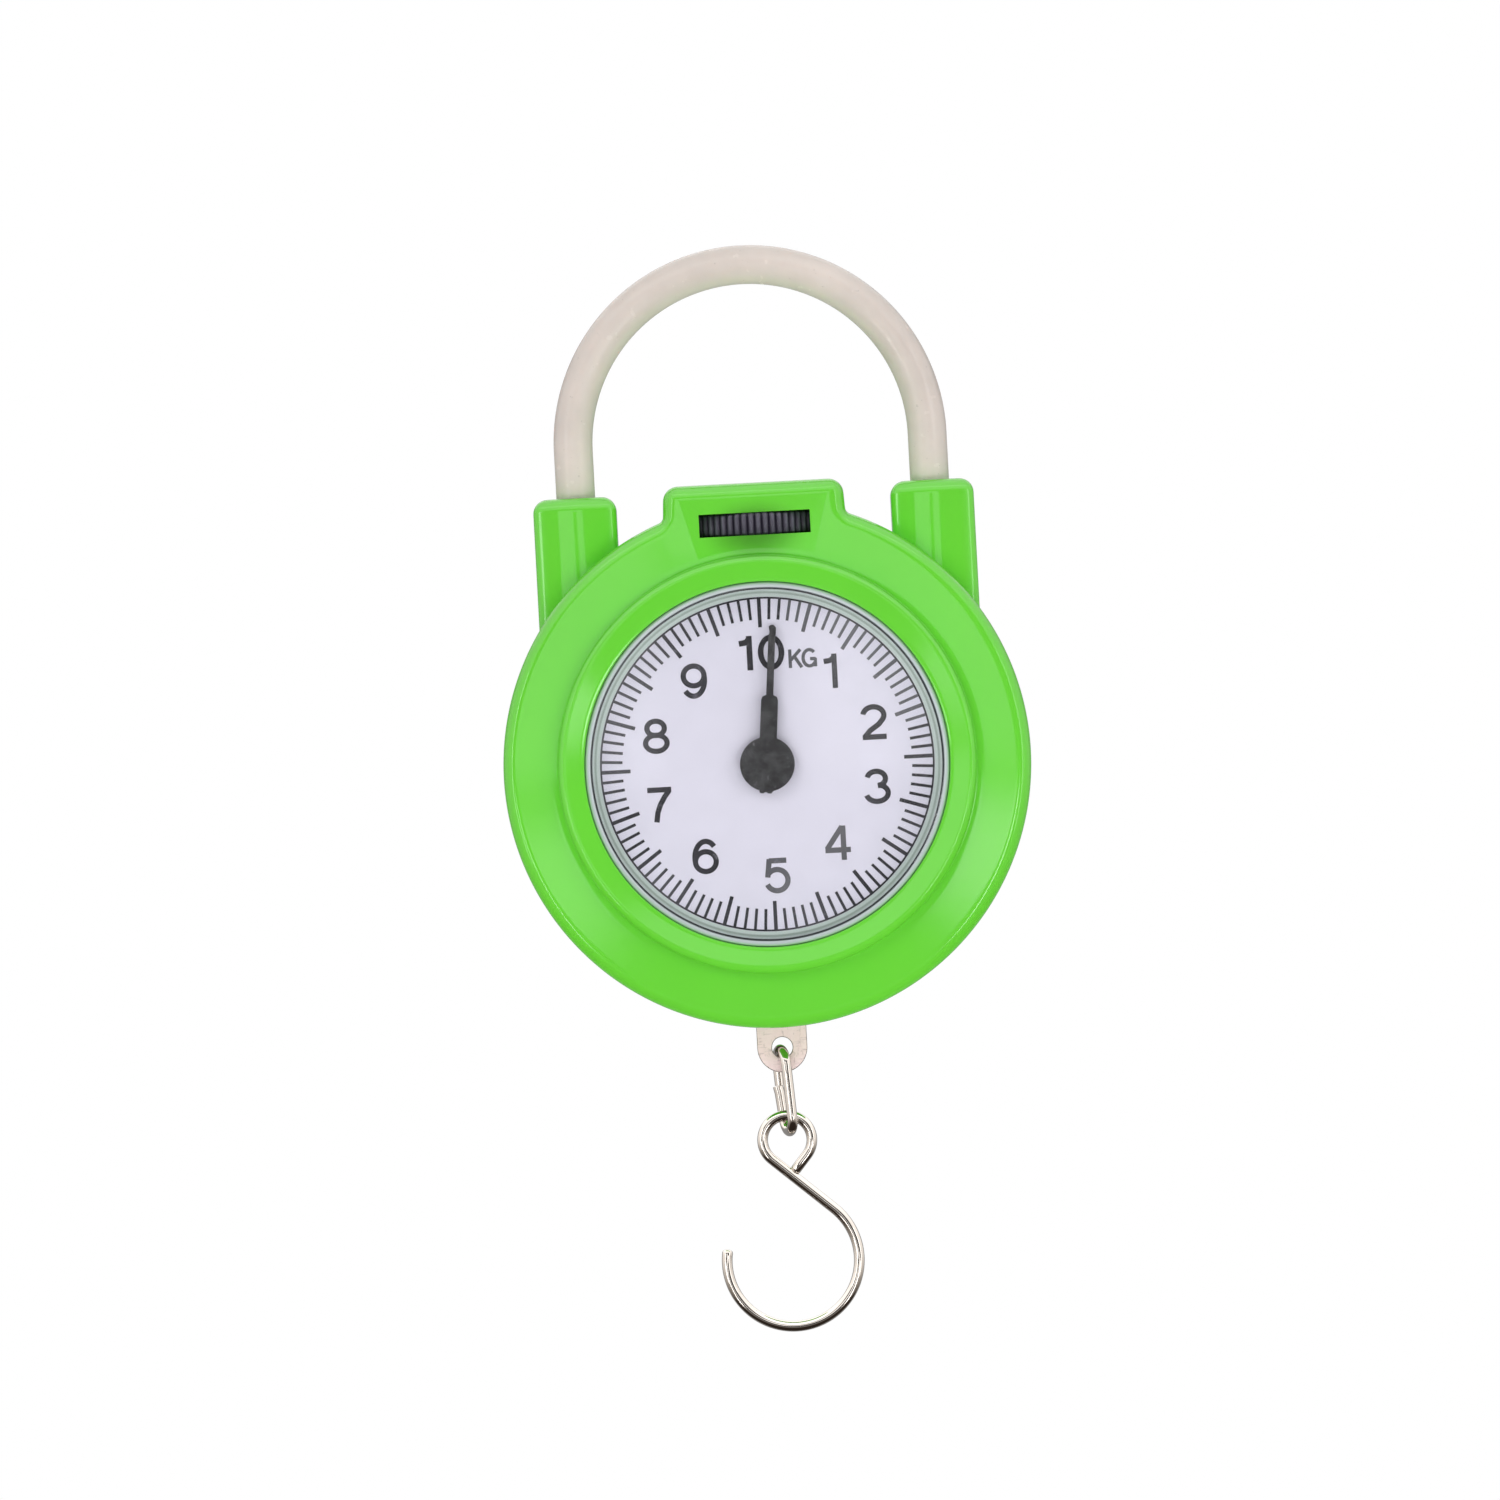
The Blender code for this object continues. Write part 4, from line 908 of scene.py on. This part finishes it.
def dial_print():
    """Scale circles, a mark for every 0.1 kg, the figures 1 to 10 and the unit."""
    front, back = DIAL_FRONT - PRINT_H, DIAL_FRONT + 0.02 * MM
    meshes, greyer = [], []
    for radius, width in ((SCALE_R, 0.26 * MM), (OUTER_LINE_R, 0.24 * MM)):
        meshes.append(flat_plate(ring_outline(radius, width), front, back))
    for mark in range(MARKS):
        major = mark % 5 == 0
        inner = 19.1 * MM if major else 20.2 * MM
        half = (0.26 if major else 0.2) * MM
        outline = [(-half, inner), (half, inner), (half, SCALE_R), (-half, SCALE_R)]
        lift = 0.002 * MM
        mesh = prism(outline, front + lift, back)
        mesh.transform(Matrix.Rotation(2 * math.pi * mark / MARKS, 4, "Y"))
        (greyer if mark in GREYER_MARKS else meshes).append(mesh)
    places = [("1", 9.6, 12.5), ("2", 15.1, 5.1), ("3", 15.1, -3.9), ("4", 9.3, -11.5), ("5", 0.5, -15.6)]
    places += [("6", -9.3, -12.4), ("7", -15.3, -4.9), ("8", -15.3, 4.7), ("9", -9.6, 12.1)]
    written = [(figure, x, z, 1.0, 1.0, STROKE) for figure, x, z in places]
    written += [("1", -2.1, 15.58, 0.98, 1.0, 0.8 * MM), ("0", 1.34, 15.55, 1.02, 0.99, 0.8 * MM)]
    written += [("K", 4.72, 14.5, 0.52, 0.54, 0.46 * MM), ("G", 6.62, 14.5, 0.48, 0.54, 0.46 * MM)]
    for figure, x, z, wide, tall, width in written:
        group = greyer if figure in GREYER_FIGURES else meshes
        for order, stroke in enumerate(figure_strokes(figure)):
            lift = (order + 1) * 0.003 * MM
            line = [((x + px * wide) * MM, (z + pz * tall) * MM) for px, pz in stroke]
            closed = math.dist(line[0], line[-1]) < 0.01 * MM
            if closed:
                middle_x = sum(px for px, _ in line[:-1]) / (len(line) - 1)
                middle_z = sum(pz for _, pz in line[:-1]) / (len(line) - 1)
                outlines = []
                for sign in SIDES[::-1]:
                    loop = []
                    for px, pz in line[:-1]:
                        out = Vector((px - middle_x, pz - middle_z))
                        out += out.normalized() * sign * width / 2
                        loop.append((middle_x + out.x, middle_z + out.y))
                    outlines.append(loop)
                group.append(flat_plate(outlines, front - lift, back))
            else:
                group.append(prism(ribbon(line, width), front - lift, back))
    piece("dial_print", combined(meshes), INK, "housing")
    piece("dial_print_faded", combined(greyer), GREY_INK, "housing")


def pointer():
    """Round hub with two small gate nubs under it, a broad arm and a needle with a hooked tip."""
    hub_r, arm, arm_top, needle, tip = 3.82, 1.2, 9.65, 0.5, 19.35
    foot = math.degrees(math.asin(arm / hub_r))
    outline = arc((0, 0), hub_r, 90 + foot, 255, 30)
    nub = [(0, -0.12), (0.12, -0.26), (0.6, -0.26), (0.72, -0.1)]
    for start in (-0.95, 0.1):
        outline += [(start + x, z - hub_r) for x, z in nub]
    outline += arc((0, 0), hub_r, 285, 450 - foot, 30)
    outline += [(arm * 0.98, arm_top - 0.75), (arm * 0.85, arm_top - 0.25), (needle, arm_top)]
    outline += [(needle * 0.96, tip - 1.6), (needle * 1.1, tip - 1.2), (needle * 1.1, tip - 0.3)]
    outline += arc((0, tip - 0.4), 0.5, 20, 160, 6)
    outline += [(-needle * 0.7, tip - 0.9), (-needle * 0.96, tip - 1.6), (-needle, arm_top)]
    outline += [(-arm * 0.85, arm_top - 0.25), (-arm * 0.98, arm_top - 0.75)]
    plate = flat_plate([from_mm(outline)], -9.9 * MM, -9.3 * MM, 0.12 * MM, 50)
    boss = turned(from_mm([(1.4, -8.7), (1.4, -9.4), (2.4, -9.4), (2.4, -8.7)]), 40)
    cap = turned(from_mm([(0, -9.98), (1.2, -9.97), (1.45, -9.88), (1.45, -9.7)]), 40, closed=False)
    # A low oval swell where the arm runs into the hub
    swell_z = 3.95 * MM
    swell = [[(0, -9.99 * MM, swell_z)]]
    for share, y in ((0.45, -9.975), (0.8, -9.93), (1.0, -9.87)):
        oval = arc((0, swell_z), (0.42 * share * MM, 1.3 * share * MM), 0, 360, 24)[:-1]
        swell.append([(x, y * MM, z) for x, z in oval])
    mesh = combined([plate, boss, cap, rings_mesh(swell)], 50)
    mesh.transform(Matrix.Rotation(POINTER_ANGLE, 4, "Y"))
    piece("pointer_hand", mesh, BLACK, "pointer", ["pointer"])


# -------- movement


def zero_wheel():
    """Knurled wheel: 66 rounded ribs, chamfered at top and bottom."""
    radius, ribs, rib_h, chamfer = WHEEL_R / MM, 66, 0.42, 0.3
    low, high = SLOT_LOW / MM + 0.06, SLOT_TOP / MM - 0.1
    per_rib = 10
    rings = []
    for z, inset in ((low, chamfer), (low + chamfer, 0), (high - chamfer, 0), (high, chamfer)):
        ring = []
        for angle in around(ribs * per_rib):
            wave = abs(math.cos(angle * ribs / 2)) ** 0.7
            r = radius - inset - rib_h * (1 - wave)
            ring.append((r * math.cos(angle) * MM, r * math.sin(angle) * MM, z * MM))
        rings.append(ring)
    bore = cylinder((0, 0, (low - 1) * MM), (0, 0, (high + 1) * MM), 2.05 * MM)
    mesh = boolean(rings_mesh(rings), [("DIFFERENCE", bore)], 60)
    piece("wheel_ribbed", mesh, RIBBED, "zero_wheel", ["zero_wheel"])


def spring_path(x):
    """Loop, coil and loop of an extension spring."""
    top = Vector((x, 0, UPPER_LUG_Z - SPRING_LOOP_R))
    low = Vector((x, 0, LOWER_LUG_Z + SPRING_LOOP_R))
    steps, open_angle, lead = 28, math.radians(70), 0.9 * MM

    def loop(centre, sign):
        points = []
        for i in range(19):
            angle = open_angle + (2 * math.pi - open_angle) * i / 18
            points.append(centre + Vector((0, math.sin(angle), -sign * math.cos(angle))) * SPRING_LOOP_R)
        return points

    coil = []
    start, end = top.z - SPRING_LOOP_R - lead, low.z + SPRING_LOOP_R + lead
    for i in range(SPRING_TURNS * steps + 1):
        angle = 2 * math.pi * i / steps - math.pi / 2
        share = i / (SPRING_TURNS * steps)
        # The first and last half turn run in from the loop's foot to the coil's radius.
        grown = min(1.0, i / (steps / 2), (SPRING_TURNS * steps - i) / (steps / 2))
        radius = SPRING_R * math.sin(grown * math.pi / 2)
        height = start + (end - start) * share
        coil.append(Vector((x + radius * math.cos(angle), radius * math.sin(angle), height)))
    return loop(top, 1) + coil + loop(low, -1)[::-1]


def springs():
    for word, x in (("left", -LUG_X), ("right", LUG_X)):
        mesh = swept(spring_path(x), SPRING_WIRE_R, 12)
        obj = piece(f"spring_coil_{word}", mesh, SPRING_STEEL, None, [f"spring_{word}"])
        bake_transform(obj)


def rack_window():
    """The plate's window, in millimetres. Its right edge is the rack: module 0.5, 20 degree flanks."""
    left, low, top = -4.6, -5.0, 24.5
    root_x, pitch_x, tip_x = 3.75, 3.0, 2.65
    pitch, slope = math.pi * 0.5, math.tan(math.radians(20))
    half = pitch / 4 - 0.05
    at_root, at_tip = half + (root_x - pitch_x) * slope, half - (pitch_x - tip_x) * slope
    outline = [(left, top), (left, low), (root_x, low)]
    for tooth in range(-1, 15):
        z = tooth * pitch
        outline += [(root_x, z - at_root), (tip_x, z - at_tip), (tip_x, z + at_tip), (root_x, z + at_root)]
    outline.append((root_x, top))
    return outline


def draw_plate():
    """Plate with a lug for each spring, the rack's window, and the round-ended tab with the link's hole."""
    lug_x, lug_z, lug_r, lug_hole_r = LUG_X / MM, LOWER_LUG_Z / MM, 2.3, 0.95
    tab_z = LINK_HOLE_Z / MM
    left = [(-7.0, 26.2), (-7.0, -4.7)]
    left += arc((-lug_x, lug_z), lug_r, 34, 326, 24)
    left += [(-7.0, -7.3), (-7.0, -8.6), (-3.5, -12.6)]
    tab = arc((0, tab_z), PLATE_TAB_R / MM, 180, 360, 40)
    outside = [(-6.7, 26.5)] + left + tab + [(-x, z) for x, z in reversed(left)] + [(6.7, 26.5)]
    holes = [rack_window(), arc((0, tab_z), LINK_HOLE_R / MM, 0, 360, 48)[:-1]]
    holes += [arc((side * lug_x, lug_z), lug_hole_r, 0, 360, 32)[:-1] for side in SIDES]
    outlines = [from_mm(outline) for outline in [outside] + holes]
    plate = flat_plate(outlines, -PLATE_HALF_Y, PLATE_HALF_Y, PLATE_BEVEL, 30)
    # The cut edges are darker than the rolled faces.
    for polygon in plate.polygons:
        polygon.material_index = int(abs(polygon.normal.y) < 0.95)
    piece("plate_rack", plate, [PLATE, PLATE_EDGE], "draw_plate", ["draw_plate"])


def link_path():
    """Open wire oval whose lower end stands a little off its upper end at the seam."""
    top, bottom = Vector((-0.32, 0, -40.0)) * MM, Vector((0.4, 0, -51.5)) * MM
    turn, bow, seam = math.radians(16.5), 2.1 * MM, 6.4 * MM
    length = (top - bottom).length
    flat = [(bow, seam + 0.06 * MM), (bow, seam + MM), (bow, length - bow - 0.4 * MM)]
    flat += arc((0, length - bow), bow, 0, 180, 24)
    flat += [(-bow, z) for z in (length * 0.7, length / 2, bow + 0.5 * MM)]
    flat += arc((0, bow), bow, 180, 360, 24)
    flat += [(bow, seam - MM), (bow + 0.12 * MM, seam - 0.06 * MM)]
    up = (top - bottom).normalized()
    back = Vector((-math.sin(turn), math.cos(turn), 0))
    path = [bottom + back * depth + up * height for depth, height in flat]
    path[-1] += Vector((-0.28, 0, 0)) * MM
    path[-2] += Vector((-0.16, 0, 0)) * MM
    return path


def link():
    mesh = swept(link_path(), LINK_WIRE_R, 28, round_ends=False)
    piece("link_wire", mesh, NICKEL, "link", ["link"])


def hook():
    eye, eye_r = Vector((0, -52.7)), 3.45
    bowl, bowl_r = Vector((-0.05, -69.55)), 9.25
    apart = bowl - eye
    touch = math.degrees(math.atan2(apart.y, apart.x) - math.acos((eye_r + bowl_r) / apart.length))
    end_angle = -40
    ring = arc(eye, eye_r, end_angle, touch + 360, 60)
    run = Vector((math.sin(math.radians(end_angle)), -math.cos(math.radians(end_angle))))
    end = Vector(ring[0]) + run * 2.55
    curve = [tuple(end), tuple((end + Vector(ring[0])) / 2)] + ring
    start_bowl = arc(bowl, bowl_r, touch + 180, -189.6, 90)
    curve += [tuple(Vector(ring[-1]).lerp(Vector(start_bowl[0]), share)) for share in (0.25, 0.5, 0.75)]
    curve += start_bowl
    path = [(x * MM, 0, z * MM) for x, z in curve]
    piece("hook_wire", swept(path, HOOK_WIRE_R, 32), NICKEL, "hook", ["s_hook"])


def carried_over():
    """CAD nodes whose shape stays get their finish."""
    finishes = {"movement_bridge": STEEL, "spring_hanger": STEEL, "pinion": BRASS, "arbor": ZINC}
    for node, mat in finishes.items():
        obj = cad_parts[node]
        obj.data.materials.clear()
        obj.data.materials.append(mat)


# -------- stage


def floor():
    bpy.ops.mesh.primitive_circle_add(vertices=96, radius=FLOOR_R, fill_type="NGON")
    disc = bpy.context.object
    disc.name = "floor"
    disc.location = DIAL - Vector((0, 0, FLOOR_BELOW_DIAL))
    s = Shader("floor", (0.86, 0.86, 0.87), 0.7)
    s.colour(s.ramp(s.noise(9, 4), [(0.3, (0.84, 0.84, 0.85)), (0.7, (0.88, 0.88, 0.885))]))
    disc.data.materials.append(s.mat)
    disc.visible_glossy = False


def area_light(name, place, size, power):
    """A soft light that glossy faces don't mirror: what they mirror is in surroundings()."""
    lamp = bpy.data.lights.new(name, "AREA")
    lamp.shape = "RECTANGLE"
    lamp.size, lamp.size_y = size
    lamp.energy = power
    obj = added(name, lamp)
    obj.location = DIAL + Vector(place)
    obj.rotation_euler = (DIAL - obj.location).to_track_quat("-Z", "Y").to_euler()
    obj.visible_glossy = False


def lights():
    area_light("key", (-0.75, -0.95, 0.75), (0.7, 0.7), 4.2)
    area_light("fill", (0.95, -0.75, 0.25), (0.5, 0.9), 3)
    area_light("top", (0.0, -0.1, 1.1), (0.8, 0.5), 2)
    area_light("low", (0.0, -0.8, -0.2), (1.3, 0.15), 2.9)
    area_light("back", (-0.3, 1.1, 0.5), (0.9, 0.7), 9)


# What glossy faces mirror: middle, half size, softness of the edge and brightness. Middle and size are
# in degrees to the right of the camera and degrees up, as seen from the object. Later ones cover earlier
# ones. The backdrop behind the object is in two halves, because the degrees end there.
PANELS = (
    ("dark_room_round_the_camera", (0, 2), (37, 22), 6, 0.10),
    ("softbox_above_the_camera", (-5.5, 7.6), (13, 8), 0.35, 1.6),
    ("camera_stand", (-0.7, -0.5), (1.7, 9), 0.4, 0.12),
    ("low_window_left", (-7.4, -3.5), (2.8, 2.1), 0.8, 2.3),
    ("low_window_right", (7.6, -3.0), (2.9, 1.7), 0.8, 3.6),
    ("strip_low_left", (-26, -12), (2.4, 10), 1.5, 7.5),
    ("strip_low_right", (21, -11.5), (2.6, 8.5), 1.5, 8),
    ("side_strip_left", (-41, 2), (2.5, 15), 1.5, 5.5),
    ("side_strip_right", (44, 2), (2.5, 15), 1.5, 4.5),
    ("overhead_strip", (0, 46), (55, 3), 1.5, 3.5),
    ("dark_backdrop_left", (-180, -20), (60, 42), 12, 0.35),
    ("dark_backdrop_right", (180, -20), (60, 42), 12, 0.35),
)
# Brightness all round by height above the horizon, in degrees
ROOM = (
    (-90, (0.03, 0.022, 0.017)), (-34, (0.04, 0.03, 0.024)), (-20, (0.42, 0.39, 0.36)),
    (0, (1.15, 1.12, 1.09)), (30, (1.7, 1.68, 1.66)), (90, (2.2, 2.2, 2.2)),
)
SOFT_LIGHT = 0.37  # brightness all round for matt faces


def surroundings():
    """White to the camera, an even soft light to matt faces, and a studio room to glossy ones."""
    world = bpy.data.worlds.new("studio")
    bpy.context.scene.world = world
    world.use_nodes = True
    world.cycles.sampling_method = "NONE"
    n = Nodes(world.node_tree)
    n.tree.nodes.clear()
    axes = n.node("ShaderNodeSeparateXYZ")
    n.link(n.node("ShaderNodeTexCoord").outputs["Generated"], axes.inputs[0])
    towards = n.maths("MULTIPLY", axes.outputs["Y"], -1)
    aside = n.maths("DEGREES", n.maths("ARCTAN2", axes.outputs["X"], towards))
    above = n.maths("DEGREES", n.maths("ARCSINE", axes.outputs["Z"]))
    room = n.ramp(n.spread(above, -90, 90), [((angle + 90) / 180, tint) for angle, tint in ROOM])
    for _, centre, half, soft, brightness in PANELS:
        shares = []
        for angle, middle_angle, reach_angle in zip((aside, above), centre, half):
            off = n.maths("ABSOLUTE", n.maths("SUBTRACT", angle, middle_angle))
            shares.append(n.spread(off, reach_angle + soft, reach_angle - soft, kind="SMOOTHSTEP"))
        room = n.mix(n.maths("MULTIPLY", *shares), room, (brightness,) * 3)
    path = n.node("ShaderNodeLightPath")
    matt = (SOFT_LIGHT,) * 3
    light = n.mix(path.outputs["Is Glossy Ray"], matt, room)
    light = n.mix(path.outputs["Is Camera Ray"], light, (1.0, 1.0, 1.0))
    background = n.node("ShaderNodeBackground")
    n.link(light, background.inputs["Color"])
    output = n.node("ShaderNodeOutputWorld")
    n.link(background.outputs[0], output.inputs["Surface"])


def camera():
    data = bpy.data.cameras.new("camera")
    data.sensor_width = 36.0
    data.lens = data.sensor_width * CAMERA_DISTANCE / FRAME_WIDTH
    data.clip_start, data.clip_end = 0.05, 20
    obj = added("camera", data)
    roll = Matrix.Rotation(CAMERA_ROLL, 4, "Y")
    right, up = roll @ Vector((1, 0, 0)), roll @ Vector((0, 0, 1))
    aim = DIAL - right * DIAL_RIGHT_OF_MIDDLE + up * DIAL_BELOW_MIDDLE
    place = aim - Vector((0, CAMERA_DISTANCE, 0))
    obj.matrix_world = Matrix.Translation(place) @ roll @ Matrix.Rotation(math.radians(90), 4, "X")
    bpy.context.scene.camera = obj
    bpy.context.scene.view_settings.view_transform = "Standard"


camera()
surroundings()
lights()
floor()
front_case()
rear_case()
screws()
handle()
lens()
dial()
dial_print()
pointer()
zero_wheel()
springs()
draw_plate()
link()
hook()
carried_over()
